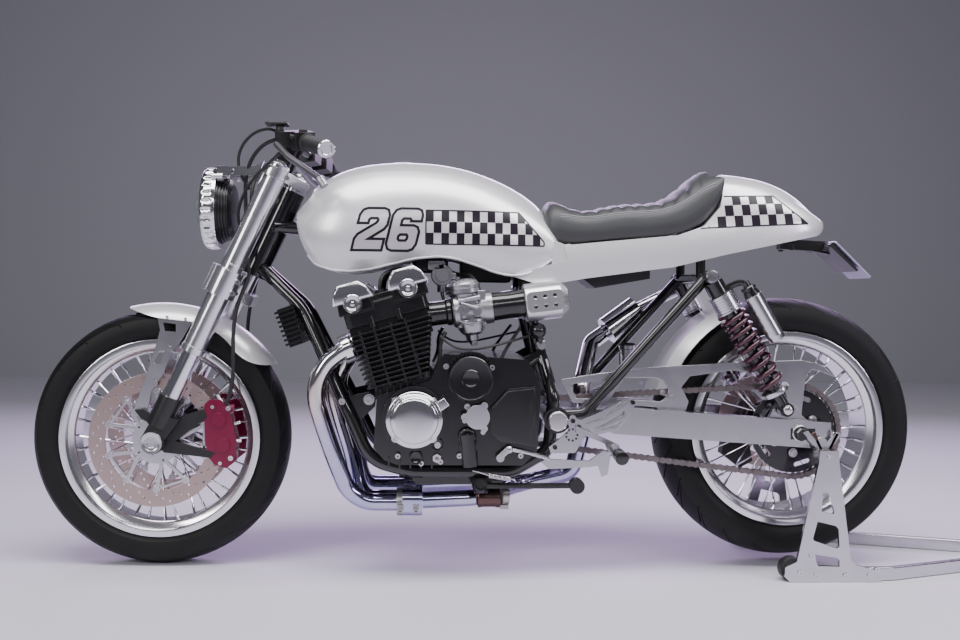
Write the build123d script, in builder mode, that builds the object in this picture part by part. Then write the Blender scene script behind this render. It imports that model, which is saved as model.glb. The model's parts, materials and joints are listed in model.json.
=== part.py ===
from build123d import *
import os
from math import atan2, cos, pi, radians, sin, sqrt, tan

# Cafe racer motorcycle on its rear paddock stand, in millimetres.
# The front wheel points to -X, the rider's left side to -Y, up is +Z, and the floor is Z = 0.
# Stations along the machine, written s, are measured rearwards from the front axle.

os.makedirs("parts", exist_ok=True)

# Overall layout
wheelbase = 1486.0
front_tyre_radius = 300.0
rear_tyre_radius = 312.0
wheel_lift = 22.0               # the paddock stand holds the rear tyre this far off the floor
stand_reach = 664.0             # from the rear axle back to the end of the stand's handle
front_axle_x = -(wheelbase + stand_reach - front_tyre_radius) / 2   # X = 0 is the middle of the length
front_axle_z = front_tyre_radius
rear_axle_z = rear_tyre_radius + wheel_lift
rake = 24.5                     # degrees
running_gap = 0.06              # radial clearance of a shaft in its bore
clear = 6.0                     # air between a moving piece and its neighbours

# Front tyre and rim
front_tyre_width = 120.0
front_rim_width = 100.0
rim_radius = 233.0              # top of the rim flange, both wheels
flange_height = 12.0
flange_thick = 5.0
well_depth = 17.0
rim_wall = 4.0

# Rear tyre and rim
rear_tyre_width = 172.0
rear_rim_width = 148.0

# Spokes
spoke_count = 36
spoke_radius = 2.2
spoke_flange_radius = 44.0

# Axles and hubs
axle_radius = 12.5
front_hub_radius = 27.0
rear_hub_radius = 34.0

# Brake discs
disc_radius = 155.0
disc_inner_radius = 118.0
disc_thick = 5.0
rear_disc_radius = 118.0
front_disc_offset = 75.0
bobbin_count = 10
bobbin_circle = 114.0
carrier_node_circle = 50.0      # where the carrier's arms meet, five of them
vent_radius = 3.2
vent_circles = (128.0, 137.0, 146.0)
vents_per_circle = 20
caliper_slot = 2 * clear + disc_thick

# Fork, in the leg's own lengths from axle height up the leg
leg_offset = 105.0
leg_lead = 7.8                  # the leg's line passes this far in front of the front axle
stem_offset = 35.0              # steering stem behind the legs
outer_leg_radius = 26.5
inner_leg_radius = 21.5
outer_leg_bottom = 229.0
outer_leg_top = 690.0
inner_leg_bottom = 92.0
lower_clamp_bottom = 370.0
lower_clamp_top = 434.0
upper_clamp_bottom = 666.0
upper_clamp_top = 690.0
stem_radius = 15.0
head_tube_radius = 31.0

# Final drive
sprocket_offset = 105.0
chain_pitch = 15.875
rear_teeth = 43
front_teeth = 18
front_sprocket_s = 812.0
front_sprocket_z = 354.0
chain_width = 17.0
chain_height = 15.0

# Frame
tube_radius = 15.0
cradle_offset = 138.0
pivot_s = 921.0
pivot_z = 360.0
pivot_bolt_radius = 12.0
boss_inner = 120.0              # pivot bosses of the frame, from the middle plane
boss_outer = 156.0

# Swingarm
beam_offset = 120.0             # inner face of each beam
beam_width = 34.0
beam_height = 62.0

# Shock absorbers
shock_offset = 155.0
shock_top = (1270.0, 692.0)
shock_bottom = (wheelbase - 34.5, rear_axle_z + 55.0)

# Engine
barrel_tilt = 16.5
barrel_s = 562.0
barrel_z = 440.0
engine_half_width = 200.0
fin_pitch = 11.0
fin_thick = 3.0

# Paddock stand
stand_half_width = 205.0        # outer face of each upright
upright_thick = 10.0

side = Plane(origin=(front_axle_x, 0, 0), x_dir=(1, 0, 0), z_dir=(0, -1, 0))
rear_side = Plane(origin=(front_axle_x + wheelbase, 0, 0), x_dir=(1, 0, 0), z_dir=(0, -1, 0))
plan = Plane(origin=(front_axle_x, 0, 0))
rear_plan = Plane(origin=(front_axle_x + wheelbase, 0, 0))
leg_plane = Plane(
    origin=(front_axle_x - leg_lead, 0, front_axle_z),
    x_dir=(cos(radians(rake)), 0, -sin(radians(rake))),
    z_dir=(sin(radians(rake)), 0, cos(radians(rake))),
)
barrel_plane = Plane(
    origin=(front_axle_x + barrel_s, 0, barrel_z),
    x_dir=(cos(radians(barrel_tilt)), 0, sin(radians(barrel_tilt))),
    z_dir=(-sin(radians(barrel_tilt)), 0, cos(radians(barrel_tilt))),
)
front_axle = Vector(front_axle_x, 0, front_axle_z)
rear_axle = Vector(front_axle_x + wheelbase, 0, rear_axle_z)
front_axis = Axis(front_axle, (0, 1, 0))
rear_axis = Axis(rear_axle, (0, 1, 0))
front_section = Plane(origin=front_axle, x_dir=(0, 1, 0), z_dir=(1, 0, 0))
rear_section = Plane(origin=rear_axle, x_dir=(0, 1, 0), z_dir=(1, 0, 0))


def at(s, y, z):
    return Vector(front_axle_x + s, y, z)


def tube(points, radius, bend=0.0):
    """A round tube along straight runs joined by arcs, of one radius or of a list of them."""
    with BuildLine() as path:
        FilletPolyline(*points, radius=bend)
    with BuildSketch(Plane(origin=path.line @ 0, z_dir=path.line % 0)) as section:
        Circle(radius)
    sweep(section.sketch, path=path.line)


def smooth_tube(points, radius):
    """A hose or cable: short runs joined by arcs as large as the runs allow."""
    points = [Vector(*point) for point in points]
    bends = []
    for before, corner, after in zip(points, points[1:], points[2:]):
        turn = radians((corner - before).get_angle(after - corner))
        bends.append(0.45 * min((corner - before).length, (after - corner).length) / tan(turn / 2))
    with BuildLine() as path:
        FilletPolyline(*points, radius=bends)
    with BuildSketch(Plane(origin=path.line @ 0, z_dir=path.line % 0)) as section:
        Circle(radius)
    sweep(section.sketch, path=path.line)


def rod(start, end, radius):
    """A straight round bar between two points."""
    start, end = Vector(*start), Vector(*end)
    with BuildSketch(Plane(origin=start, z_dir=end - start)) as section:
        Circle(radius)
    extrude(section.sketch, amount=(end - start).length)


def body_section(s, low, high, half_low, half_wide, z_wide, half_top, z_top):
    """Cross-section of a bodywork piece: flat below, bowed sides, arched top."""
    with BuildSketch(Plane(origin=at(s, 0, 0), x_dir=(0, 1, 0), z_dir=(1, 0, 0))) as section:
        with BuildLine():
            Line((-half_low, low), (half_low, low))
            ThreePointArc((half_low, low), (half_wide, z_wide), (half_top, z_top))
            ThreePointArc((half_top, z_top), (0, high), (-half_top, z_top))
            ThreePointArc((-half_top, z_top), (-half_wide, z_wide), (-half_low, low))
        make_face()
    return section.sketch


def tyre_profile(radius, width, rim_width):
    """Half-round tyre section, in lengths along and away from the axle."""
    bead = rim_width / 2 - flange_thick
    seat = rim_radius - flange_height
    half = width / 2
    wall = rim_radius + 0.38 * (radius - rim_radius)
    crown = radius - 0.30 * (radius - rim_radius)
    with BuildLine() as outline:
        Line((-bead, seat), (bead, seat))
        for end in (1, -1):
            Line((end * bead, seat), (end * bead, rim_radius))
            Line((end * bead, rim_radius), (end * half, wall))
            Line((end * half, wall), (end * 0.93 * half, crown))
            ThreePointArc((end * 0.93 * half, crown), (end * 0.5 * half, radius - 6), (0, radius))
    make_face(outline.edges())


def rim_profile(rim_width):
    """Channel section of a spoked rim: two flanges, two bead seats and a well."""
    half = rim_width / 2
    seat = rim_radius - flange_height
    well = seat - well_depth
    inner = [
        (half, rim_radius),
        (half - flange_thick, rim_radius),
        (half - flange_thick, seat),
        (half - 20, seat),
        (half - 27, well),
    ]
    outer = [
        (half - 25, well - rim_wall),
        (half - 16, seat - rim_wall),
        (half, seat - rim_wall),
    ]
    with BuildLine() as outline:
        Polyline(*inner)
        Polyline(*[(-x, r) for x, r in inner])
        Line(inner[-1], (-inner[-1][0], well))
        Polyline(inner[0], outer[2], outer[1], outer[0])
        Polyline((-inner[0][0], inner[0][1]), *[(-x, r) for x, r in reversed(outer)])
        Line(outer[0], (-outer[0][0], outer[0][1]))
    make_face(outline.edges())


def spokes(axle, hub_half, rim_reach=rim_radius - flange_height - well_depth - rim_wall + 1.5):
    """Crossed wire spokes from both hub flanges to the rim's well."""
    for index in range(spoke_count):
        turn = 360.0 / spoke_count * index
        lean = 26.0 if index % 4 < 2 else -26.0
        hub_y = hub_half if index % 2 else -hub_half
        rim_y = 12.0 if index % 2 else -12.0
        start = axle + Vector(spoke_flange_radius - 6, 0, 0).rotate(Axis.Y, turn + lean) + Vector(0, hub_y, 0)
        end = axle + Vector(rim_reach, 0, 0).rotate(Axis.Y, turn) + Vector(0, rim_y, 0)
        with BuildSketch(Plane(origin=start, z_dir=end - start)) as section:
            RegularPolygon(spoke_radius, 4)
        extrude(section.sketch, amount=(end - start).length)


# Front wheel
front_hub_half = 36.0
with BuildPart() as front_tyre:
    with BuildSketch(front_section):
        tyre_profile(front_tyre_radius, front_tyre_width, front_rim_width)
    revolve(axis=front_axis)
front_tyre.part.label = "front_tyre"
export_step(front_tyre.part, "parts/front_tyre.step")

with BuildPart() as front_rim:
    with BuildSketch(front_section):
        rim_profile(front_rim_width)
    revolve(axis=front_axis)
front_rim.part.label = "front_rim"
export_step(front_rim.part, "parts/front_rim.step")

front_hub_end = front_disc_offset - disc_thick / 2
with BuildPart() as front_hub:
    with BuildSketch(side.offset(-front_hub_end)):
        with Locations((0, front_axle_z)):
            Circle(front_hub_radius)
    extrude(amount=2 * front_hub_end)
    for face in (-1, 1):
        with BuildSketch(side.offset(face * front_hub_half - 4)):
            with Locations((0, front_axle_z)):
                Circle(spoke_flange_radius)
        extrude(amount=8)
        with BuildSketch(side.offset(face * (front_hub_end - 4) - 4)):
            with Locations((0, front_axle_z)):
                Circle(spoke_flange_radius)
        extrude(amount=8)
    spokes(front_axle, front_hub_half)
    add(front_rim.part, mode=Mode.SUBTRACT)
    with BuildSketch(side.offset(-front_hub_end)):
        with Locations((0, front_axle_z)):
            Circle(axle_radius + running_gap)
    extrude(amount=2 * front_hub_end, mode=Mode.SUBTRACT)
front_hub.part.label = "front_hub"
export_step(front_hub.part, "parts/front_hub.step")

with BuildPart() as front_discs:
    for face in (-1, 1):
        with BuildSketch(side.offset(face * front_disc_offset - disc_thick / 2)):
            with Locations((0, front_axle_z)):
                Circle(disc_radius)
                Circle(disc_inner_radius, mode=Mode.SUBTRACT)
                Circle(carrier_node_circle + 4)
                with PolarLocations(carrier_node_circle, bobbin_count // 2):
                    for turn in (-30.2, 30.2):
                        Rectangle(70, 9, rotation=turn, align=(Align.MIN, Align.CENTER))
                with PolarLocations(bobbin_circle - 6, bobbin_count // 2):
                    Rectangle(8, 70)
                with PolarLocations(bobbin_circle, bobbin_count, start_angle=180 / bobbin_count):
                    Circle(8.5)
                for row, circle in enumerate(vent_circles):
                    with PolarLocations(circle, vents_per_circle, start_angle=6 * row):
                        Circle(vent_radius, mode=Mode.SUBTRACT)
                Circle(axle_radius + 14, mode=Mode.SUBTRACT)
        extrude(amount=disc_thick)
front_discs.part.label = "front_discs"
export_step(front_discs.part, "parts/front_discs.step")

# Fork legs: the large tubes are at the top and hold the polished inner tubes
with BuildPart() as fork_outer_tubes:
    with BuildSketch(leg_plane.offset(outer_leg_bottom)):
        with Locations((0, -leg_offset), (0, leg_offset)):
            Circle(outer_leg_radius)
            Circle(inner_leg_radius, mode=Mode.SUBTRACT)
    extrude(amount=outer_leg_top - outer_leg_bottom)
    with BuildSketch(leg_plane.offset(outer_leg_top - 6)):
        with Locations((0, -leg_offset), (0, leg_offset)):
            Circle(inner_leg_radius + 0.6)
    extrude(amount=16)
fork_outer_tubes.part.label = "fork_outer_tubes"
export_step(fork_outer_tubes.part, "parts/fork_outer_tubes.step")

with BuildPart() as fork_inner_tubes:
    with BuildSketch(leg_plane.offset(inner_leg_bottom)):
        with Locations((0, -leg_offset), (0, leg_offset)):
            Circle(inner_leg_radius)
    extrude(amount=outer_leg_bottom + 60 - inner_leg_bottom)
fork_inner_tubes.part.label = "fork_inner_tubes"
export_step(fork_inner_tubes.part, "parts/fork_inner_tubes.step")

foot_inner = 88.0
foot_outer = 122.0
foot_flat = front_disc_offset + disc_thick / 2 + 5.0      # milled inner side, beside the disc
with BuildPart() as fork_feet:
    for sign in (-1, 1):
        with BuildSketch(leg_plane.offset(40)):
            with Locations((0, sign * leg_offset)):
                Circle(inner_leg_radius + 5)
        extrude(amount=inner_leg_bottom + 22 - 40)
        with BuildSketch(leg_plane.offset(inner_leg_bottom)):
            with Locations((0, sign * leg_offset)):
                Circle(inner_leg_radius)
        extrude(amount=30, mode=Mode.SUBTRACT)
        start = foot_inner if sign < 0 else -foot_outer
        with BuildSketch(side.offset(start)):
            with Locations((0, front_axle_z)):
                Circle(27)
            with BuildLine():
                Polyline((-22, 315), (24, 300), (60, 350), (8, 368), (-22, 315))
            make_face()
        extrude(amount=foot_outer - foot_inner)
        start = foot_inner if sign < 0 else -foot_inner - 10
        with BuildSketch(side.offset(start)):
            with BuildLine():
                Polyline((0, 300), (22, 274), (128, 262), (138, 274), (48, 300), (120, 356), (112, 374),
                         (20, 345), (0, 300))
            make_face()
        extrude(amount=10)
        start = foot_inner if sign < 0 else -foot_inner - 12
        with BuildSketch(side.offset(start)):
            with BuildLine():
                Polyline((-45, 372), (-30, 352), (10, 330), (10, 350), (-25, 374), (-45, 372))
            make_face()
        extrude(amount=12)
    with BuildSketch(side.offset(-foot_flat)):
        with Locations((0, front_axle_z)):
            Circle(disc_radius + clear)
    extrude(amount=2 * foot_flat, mode=Mode.SUBTRACT)
    with BuildSketch(side.offset(-foot_outer)):
        with Locations((0, front_axle_z)):
            Circle(axle_radius)
    extrude(amount=2 * foot_outer, mode=Mode.SUBTRACT)
fork_feet.part.label = "fork_feet"
export_step(fork_feet.part, "parts/fork_feet.step")

with BuildPart() as front_axle_shaft:
    with BuildSketch(side.offset(-foot_outer)):
        with Locations((0, front_axle_z)):
            Circle(axle_radius)
    extrude(amount=2 * foot_outer)
    for start in (-foot_outer - 6, foot_outer):
        with BuildSketch(side.offset(start)):
            with Locations((0, front_axle_z)):
                Circle(24)
                RegularPolygon(12, 6, mode=Mode.SUBTRACT)
        extrude(amount=6)
front_axle_shaft.part.label = "front_axle_shaft"
export_step(front_axle_shaft.part, "parts/front_axle_shaft.step")

# Radial calipers behind the legs, each straddling its disc
with BuildPart() as front_calipers:
    for sign in (-1, 1):
        centre = front_disc_offset * (1 if sign < 0 else -1)
        with BuildSketch(side.offset(centre - 22)):
            with BuildLine():
                Polyline((112, 384), (124, 396), (150, 396), (170, 372), (186, 300), (182, 252), (164, 238),
                         (136, 246), (124, 262), (114, 300), (112, 384))
            make_face()
        extrude(amount=44)
        with BuildSketch(side.offset(centre - caliper_slot / 2)):
            with Locations((0, front_axle_z)):
                Circle(disc_radius + clear)
        extrude(amount=caliper_slot, mode=Mode.SUBTRACT)
        outside = centre + 22 if sign < 0 else centre - 26
        with BuildSketch(side.offset(outside)):
            with Locations((146, 350), (156, 292)):
                Circle(16)
        extrude(amount=4)
    for sign in (-1, 1):
        start = foot_inner if sign < 0 else -foot_inner - 10
        with BuildSketch(side.offset(start)):
            with BuildLine():
                Polyline((0, 300), (22, 274), (128, 262), (138, 274), (48, 300), (120, 356), (112, 374),
                         (20, 345), (0, 300))
            make_face()
        extrude(amount=10, mode=Mode.SUBTRACT)
front_calipers.part.label = "front_calipers"
export_step(front_calipers.part, "parts/front_calipers.step")

# Triple clamps and steering stem
with BuildPart() as triple_clamps:
    with BuildSketch(leg_plane.offset(lower_clamp_bottom)):
        with BuildLine():
            Polyline((-20, -leg_offset), (-20, leg_offset), (stem_offset + 30, 40), (stem_offset + 30, -40),
                     (-20, -leg_offset))
        make_face()
        with Locations((0, -leg_offset), (0, leg_offset)):
            Circle(outer_leg_radius + 8)
            with Locations((-26, 0)):
                Rectangle(26, 30)
            Circle(outer_leg_radius, mode=Mode.SUBTRACT)
    extrude(amount=lower_clamp_top - lower_clamp_bottom)
    with BuildSketch(leg_plane.offset(lower_clamp_bottom + 26)):
        with Locations((10, 0)):
            Rectangle(140, 120)
    extrude(amount=60, mode=Mode.SUBTRACT)
    with BuildSketch(leg_plane.offset(upper_clamp_bottom)):
        with BuildLine():
            Polyline((-30, -60), (-30, 60), (-24, leg_offset + 20), (30, leg_offset + 24),
                     (stem_offset + 32, 30), (stem_offset + 32, -30), (30, -leg_offset - 24),
                     (-24, -leg_offset - 20), (-30, -60))
        make_face()
        with Locations((0, -leg_offset), (0, leg_offset)):
            Circle(outer_leg_radius + 9)
            Circle(outer_leg_radius, mode=Mode.SUBTRACT)
    extrude(amount=upper_clamp_top - upper_clamp_bottom)
    with BuildSketch(leg_plane.offset(lower_clamp_bottom - 4)):
        with Locations((stem_offset, 0)):
            Circle(stem_radius)
    extrude(amount=upper_clamp_top - lower_clamp_bottom + 14)
triple_clamps.part.label = "triple_clamps"
export_step(triple_clamps.part, "parts/triple_clamps.step")

# Handlebar: one tube on two risers, swept back and down to the grips
bar_radius = 11.0
grip_radius = 16.5
grip_inner_y = 238.0
bar_end_y = 350.0
bar_bend = (300, 105, 1004)     # where the tube turns down towards the grip
bar_tip = (409, 352, 941)


def bar_point(y, sign):
    """A point of the bar's straight outer run at a distance from the middle plane."""
    (s0, y0, z0), (s1, y1, z1) = bar_bend, bar_tip
    t = (y - y0) / (y1 - y0)
    return at(s0 + t * (s1 - s0), sign * y, z0 + t * (z1 - z0))


with BuildPart() as handlebar:
    tube([bar_point(bar_end_y, -1), at(300, -105, 1004), at(292, -55, 1000), at(292, 55, 1000),
          at(300, 105, 1004), bar_point(bar_end_y, 1)], bar_radius, 30)
    for y in (-38, 38):
        with BuildSketch(leg_plane.offset(upper_clamp_top)):
            with Locations((-8, y)):
                Rectangle(36, 26)
        extrude(amount=84)
handlebar.part.label = "handlebar"
export_step(handlebar.part, "parts/handlebar.step")

with BuildPart() as grips:
    for sign in (-1, 1):
        start, end = bar_point(grip_inner_y, sign), bar_point(bar_end_y, sign)
        with BuildSketch(Plane(origin=start, z_dir=end - start)):
            Circle(grip_radius)
            Circle(bar_radius, mode=Mode.SUBTRACT)
        extrude(amount=(end - start).length)
        with BuildSketch(Plane(origin=end, z_dir=end - start)):
            Circle(grip_radius + 2)
        extrude(amount=10)
grips.part.label = "grips"
export_step(grips.part, "parts/grips.step")

mirror_radius = 5.0             # M10 thread for a mirror stem
mirror_top = 1022.0
mirror_depth = 16.0
with BuildPart() as bar_controls:
    for sign in (-1, 1):
        inner, outer = bar_point(196, sign), bar_point(226, sign)
        with BuildSketch(Plane(origin=inner, z_dir=outer - inner, x_dir=(1, 0, 0))):
            Rectangle(44, 40)
            Circle(bar_radius, mode=Mode.SUBTRACT)
        extrude(amount=(outer - inner).length)
        inner, outer = bar_point(150, sign), bar_point(180, sign)
        with BuildSketch(Plane(origin=inner, z_dir=outer - inner, x_dir=(1, 0, 0))):
            with Locations((-14, 0)):
                Rectangle(62, 34)
            Circle(bar_radius, mode=Mode.SUBTRACT)
        extrude(amount=(outer - inner).length)
        with BuildSketch(plan.offset(996)):
            with Locations((290, sign * 165)):
                Circle(9)
        extrude(amount=26)
        with BuildSketch(plan.offset(mirror_top - mirror_depth)):
            with Locations((290, sign * 165)):
                Circle(mirror_radius)
        extrude(amount=mirror_depth, mode=Mode.SUBTRACT)
bar_controls.part.label = "bar_controls"
export_step(bar_controls.part, "parts/bar_controls.step")

with BuildPart() as levers:
    for sign in (-1, 1):
        root = at(285, sign * 190, 972)
        middle = at(318, sign * 240, 938)
        tip = at(398, sign * 330, 880)
        tube([root, middle, tip], 7, 40)
        rod(tip - Vector(4, 0, -4), tip + Vector(8, sign * 4, -14), 9)
    add(bar_controls.part, mode=Mode.SUBTRACT)
levers.part.label = "levers"
export_step(levers.part, "parts/levers.step")

# Headlight: dished chrome ring, bulging lens, ribbed rear shell and its brackets
headlight_z = 842.0
ring_radius = 96.0
lamp_axis = Axis(at(0, 0, headlight_z), (1, 0, 0))
lamp_section = Plane(origin=at(0, 0, headlight_z), x_dir=(1, 0, 0), z_dir=(0, -1, 0))
with BuildPart() as headlight_ring:
    with BuildSketch(lamp_section):
        with BuildLine():
            Polyline((95, 88), (95, 92), (102, ring_radius), (130, ring_radius), (130, 84), (124, 84),
                     (124, 88), (95, 88))
        make_face()
    revolve(axis=lamp_axis)
headlight_ring.part.label = "headlight_ring"
export_step(headlight_ring.part, "parts/headlight_ring.step")

with BuildPart() as headlight_lens:
    with BuildSketch(lamp_section):
        with BuildLine():
            ThreePointArc((75, 0), (80, 48), (95, 87.7))
            Polyline((95, 87.7), (100, 87.7), (86, 48), (81, 0), (75, 0))
        make_face()
    revolve(axis=lamp_axis)
headlight_lens.part.label = "headlight_lens"
export_step(headlight_lens.part, "parts/headlight_lens.step")

rib_count = 4
shell_line = [(104, 0), (104, 84), (131, 84)]
for rib in range(rib_count):
    outer = 83 - 3 * rib
    start = 131 + 6 * rib
    shell_line += [(start, outer), (start + 3, outer), (start + 3, outer - 5), (start + 6, outer - 5)]
shell_line += [(163, 54), (166, 0), (104, 0)]
with BuildPart() as headlight_shell:
    with BuildSketch(lamp_section):
        with BuildLine():
            Polyline(*shell_line)
        make_face()
    revolve(axis=lamp_axis)
headlight_shell.part.label = "headlight_shell"
export_step(headlight_shell.part, "parts/headlight_shell.step")

with BuildPart() as headlight_bracket:
    for sign in (-1, 1):
        start = 64 if sign < 0 else -70
        with BuildSketch(side.offset(start)):
            with BuildLine():
                Polyline((132, 936), (214, 936), (246, 950), (252, 934), (222, 916), (150, 914), (146, 900),
                         (132, 902), (132, 936))
            make_face()
        extrude(amount=6)
    with BuildSketch(side.offset(-70)):
        with Locations((140, 912)):
            Circle(9)
    extrude(amount=140)
    add(headlight_shell.part, mode=Mode.SUBTRACT)
    add(headlight_ring.part, mode=Mode.SUBTRACT)
    add(triple_clamps.part, mode=Mode.SUBTRACT)
    add(fork_outer_tubes.part, mode=Mode.SUBTRACT)
headlight_bracket.part.label = "headlight_bracket"
export_step(headlight_bracket.part, "parts/headlight_bracket.step")

# Front fender: a short leaf of thin sheet over the tyre
fender_radius = front_tyre_radius + 18
fender_half = 67.0
sheet = 3.0
with BuildPart() as front_fender:
    with BuildSketch(front_section):
        with BuildLine():
            ThreePointArc((-fender_half, 268), (0, fender_radius), (fender_half, 268))
            Line((fender_half, 268), (fender_half - sheet, 268))
            ThreePointArc((fender_half - sheet, 268), (0, fender_radius - sheet), (-fender_half + sheet, 268))
            Line((-fender_half + sheet, 268), (-fender_half, 268))
        make_face()
    revolve(axis=front_axis)
    with BuildSketch(side.offset(-100)):
        with BuildLine():
            Polyline((-76, 604), (-90, 650), (200, 650), (330, 480), (262, 474))
            ThreePointArc((262, 474), (205, 484), (168, 516))
            ThreePointArc((168, 516), (120, 556), (70, 570))
            ThreePointArc((70, 570), (-10, 584), (-76, 604))
        make_face()
    extrude(amount=200, mode=Mode.INTERSECT)
front_fender.part.label = "front_fender"
export_step(front_fender.part, "parts/front_fender.step")

bracket_offset = 84.0
with BuildPart() as fender_brackets:
    for sign in (-1, 1):
        start = bracket_offset if sign < 0 else -bracket_offset - 4
        with BuildSketch(side.offset(start)):
            with BuildLine():
                Polyline((4, 580), (81, 572), (61, 537), (36, 505), (16, 452), (-9, 417), (-20, 363),
                         (-36, 352), (-52, 363), (-29, 428), (-14, 474), (0, 520), (9, 555), (4, 580))
            make_face()
            with BuildLine():
                Polyline((16, 573), (45, 569), (45, 551), (20, 553), (16, 573))
            make_face(mode=Mode.SUBTRACT)
            with BuildLine():
                Polyline((7, 507), (20, 507), (9, 474), (-4, 479), (7, 507))
            make_face(mode=Mode.SUBTRACT)
        extrude(amount=4)
        start = 59.5 if sign < 0 else -bracket_offset - 4
        with BuildSketch(side.offset(start)):
            with BuildLine():
                Polyline((4, 583), (81, 575), (81, 571), (4, 579), (4, 583))
            make_face()
        extrude(amount=bracket_offset + 4 - 59.5)
    add(front_fender.part, mode=Mode.SUBTRACT)
fender_brackets.part.label = "fender_brackets"
export_step(fender_brackets.part, "parts/fender_brackets.step")

# Frame: head tube and spine, and one loop of tube on each side
with BuildPart() as frame_spine:
    with BuildSketch(leg_plane.offset(lower_clamp_top + clear)):
        with Locations((stem_offset, 0)):
            Circle(head_tube_radius)
    extrude(amount=upper_clamp_bottom - lower_clamp_top - 2 * clear)
    for sign in (-1, 1):
        tube([at(262, sign * 20, 800), at(420, sign * 42, 790), at(700, sign * 48, 775),
              at(900, sign * 60, 752)], tube_radius, 60)
        rod(at(262, sign * 20, 800), at(262, sign * 18, 790), tube_radius)
    with BuildSketch(leg_plane.offset(lower_clamp_top)):
        with Locations((stem_offset, 0)):
            Circle(stem_radius + running_gap)
    extrude(amount=upper_clamp_bottom - lower_clamp_top, mode=Mode.SUBTRACT)
frame_spine.part.label = "frame_spine"
export_step(frame_spine.part, "parts/frame_spine.step")

loop_points = [
    (232, 26, 700), (330, 66, 610), (440, 126, 385), (496, cradle_offset, 264), (590, cradle_offset, 240),
    (820, cradle_offset, 240), (905, cradle_offset, 290), (914, cradle_offset, 410), (880, 99, 530),
    (850, 99, 650), (850, 62, 748),
]
loop_bends = [120, 300, 85, 150, 60, 38, 38, 38, 38]    # at every point but the first and the last
mount_plate_offset = 116.0      # engine mounting plates, from the middle plane
mount_plate_thick = 6.0
loops = {}
for name, sign in (("frame_left", -1), ("frame_right", 1)):
    with BuildPart() as loops[name]:
        tube([at(s, sign * y, z) for s, y, z in loop_points], tube_radius, loop_bends)
        add(frame_spine.part, mode=Mode.SUBTRACT)
        with BuildSketch(leg_plane.offset(lower_clamp_top)):
            with Locations((stem_offset, 0)):
                Circle(head_tube_radius - 1)
        extrude(amount=200, mode=Mode.SUBTRACT)
        start = boss_inner if sign < 0 else -boss_outer
        with BuildSketch(side.offset(start)):
            with Locations((pivot_s, pivot_z)):
                Circle(30)
        extrude(amount=boss_outer - boss_inner)
        with BuildSketch(side.offset(start)):
            with Locations((pivot_s, pivot_z)):
                Circle(pivot_bolt_radius)
        extrude(amount=boss_outer - boss_inner, mode=Mode.SUBTRACT)
        start = mount_plate_offset if sign < 0 else -mount_plate_offset - mount_plate_thick
        with BuildSketch(side.offset(start)):
            with BuildLine():
                Polyline((424, 404), (490, 419), (507, 404), (505, 386), (466, 348), (446, 344), (424, 404))
            make_face()
            with BuildLine():
                Polyline((893, 540), (872, 514), (804, 478), (804, 456), (822, 448), (895, 500), (893, 540))
            make_face()
        extrude(amount=mount_plate_thick)
    loops[name].part.label = name
    export_step(loops[name].part, "parts/" + name + ".step")

# Seat rails and rear struts
cross_tube = (1266.0, 690.0)
with BuildPart() as subframe:
    for sign in (-1, 1):
        tube([at(866, sign * 68, 750), at(950, sign * 70, 744), at(1060, sign * 92, 738),
              at(1270, sign * 98, 745), at(1400, sign * 94, 790)], 12, 60)
        tube([at(940, sign * 137, 372), at(985, sign * 137, 374), at(1262, sign * 134, 686)], 13, 30)
        rod(at(shock_top[0], sign * 96, shock_top[1]), at(shock_top[0], sign * 172, shock_top[1]), 9)
        rod(at(1262, sign * 98, 690), at(1262, sign * 98, 742), 11)
    rod(at(cross_tube[0], -138, cross_tube[1]), at(cross_tube[0], 138, cross_tube[1]), 12)
    rod(at(1350, -94, 772), at(1350, 94, 772), 10)
    for loop in loops.values():
        add(loop.part, mode=Mode.SUBTRACT)
    add(frame_spine.part, mode=Mode.SUBTRACT)
subframe.part.label = "subframe"
export_step(subframe.part, "parts/subframe.step")

# Line of the drive chain
rear_pitch_radius = chain_pitch / 2 / sin(pi / rear_teeth)
front_pitch_radius = chain_pitch / 2 / sin(pi / front_teeth)
drive_x = wheelbase - front_sprocket_s
drive_z = rear_axle_z - front_sprocket_z
drive_length = sqrt(drive_x ** 2 + drive_z ** 2)
drive_angle = atan2(drive_z, drive_x)
wrap = atan2(sqrt(drive_length ** 2 - (rear_pitch_radius - front_pitch_radius) ** 2),
             -(rear_pitch_radius - front_pitch_radius))


def chain_outline(offset):
    """Open belt line round both sprockets, set off from the pitch line."""
    points = {}
    for label, s, z, radius in (("front", front_sprocket_s, front_sprocket_z, front_pitch_radius + offset),
                                ("rear", wheelbase, rear_axle_z, rear_pitch_radius + offset)):
        for run, angle in (("upper", drive_angle + wrap), ("lower", drive_angle - wrap)):
            points[label, run] = (s + radius * cos(angle), z + radius * sin(angle))
        far = drive_angle + (pi if label == "front" else 0)
        points[label, "far"] = (s + radius * cos(far), z + radius * sin(far))
    with BuildLine() as outline:
        Line(points["front", "upper"], points["rear", "upper"])
        ThreePointArc(points["rear", "upper"], points["rear", "far"], points["rear", "lower"])
        Line(points["rear", "lower"], points["front", "lower"])
        ThreePointArc(points["front", "lower"], points["front", "far"], points["front", "upper"])
    make_face(outline.edges())


# Engine: cases with the black covers, finned barrels and head, and the bright covers
case_half = 190.0
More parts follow.
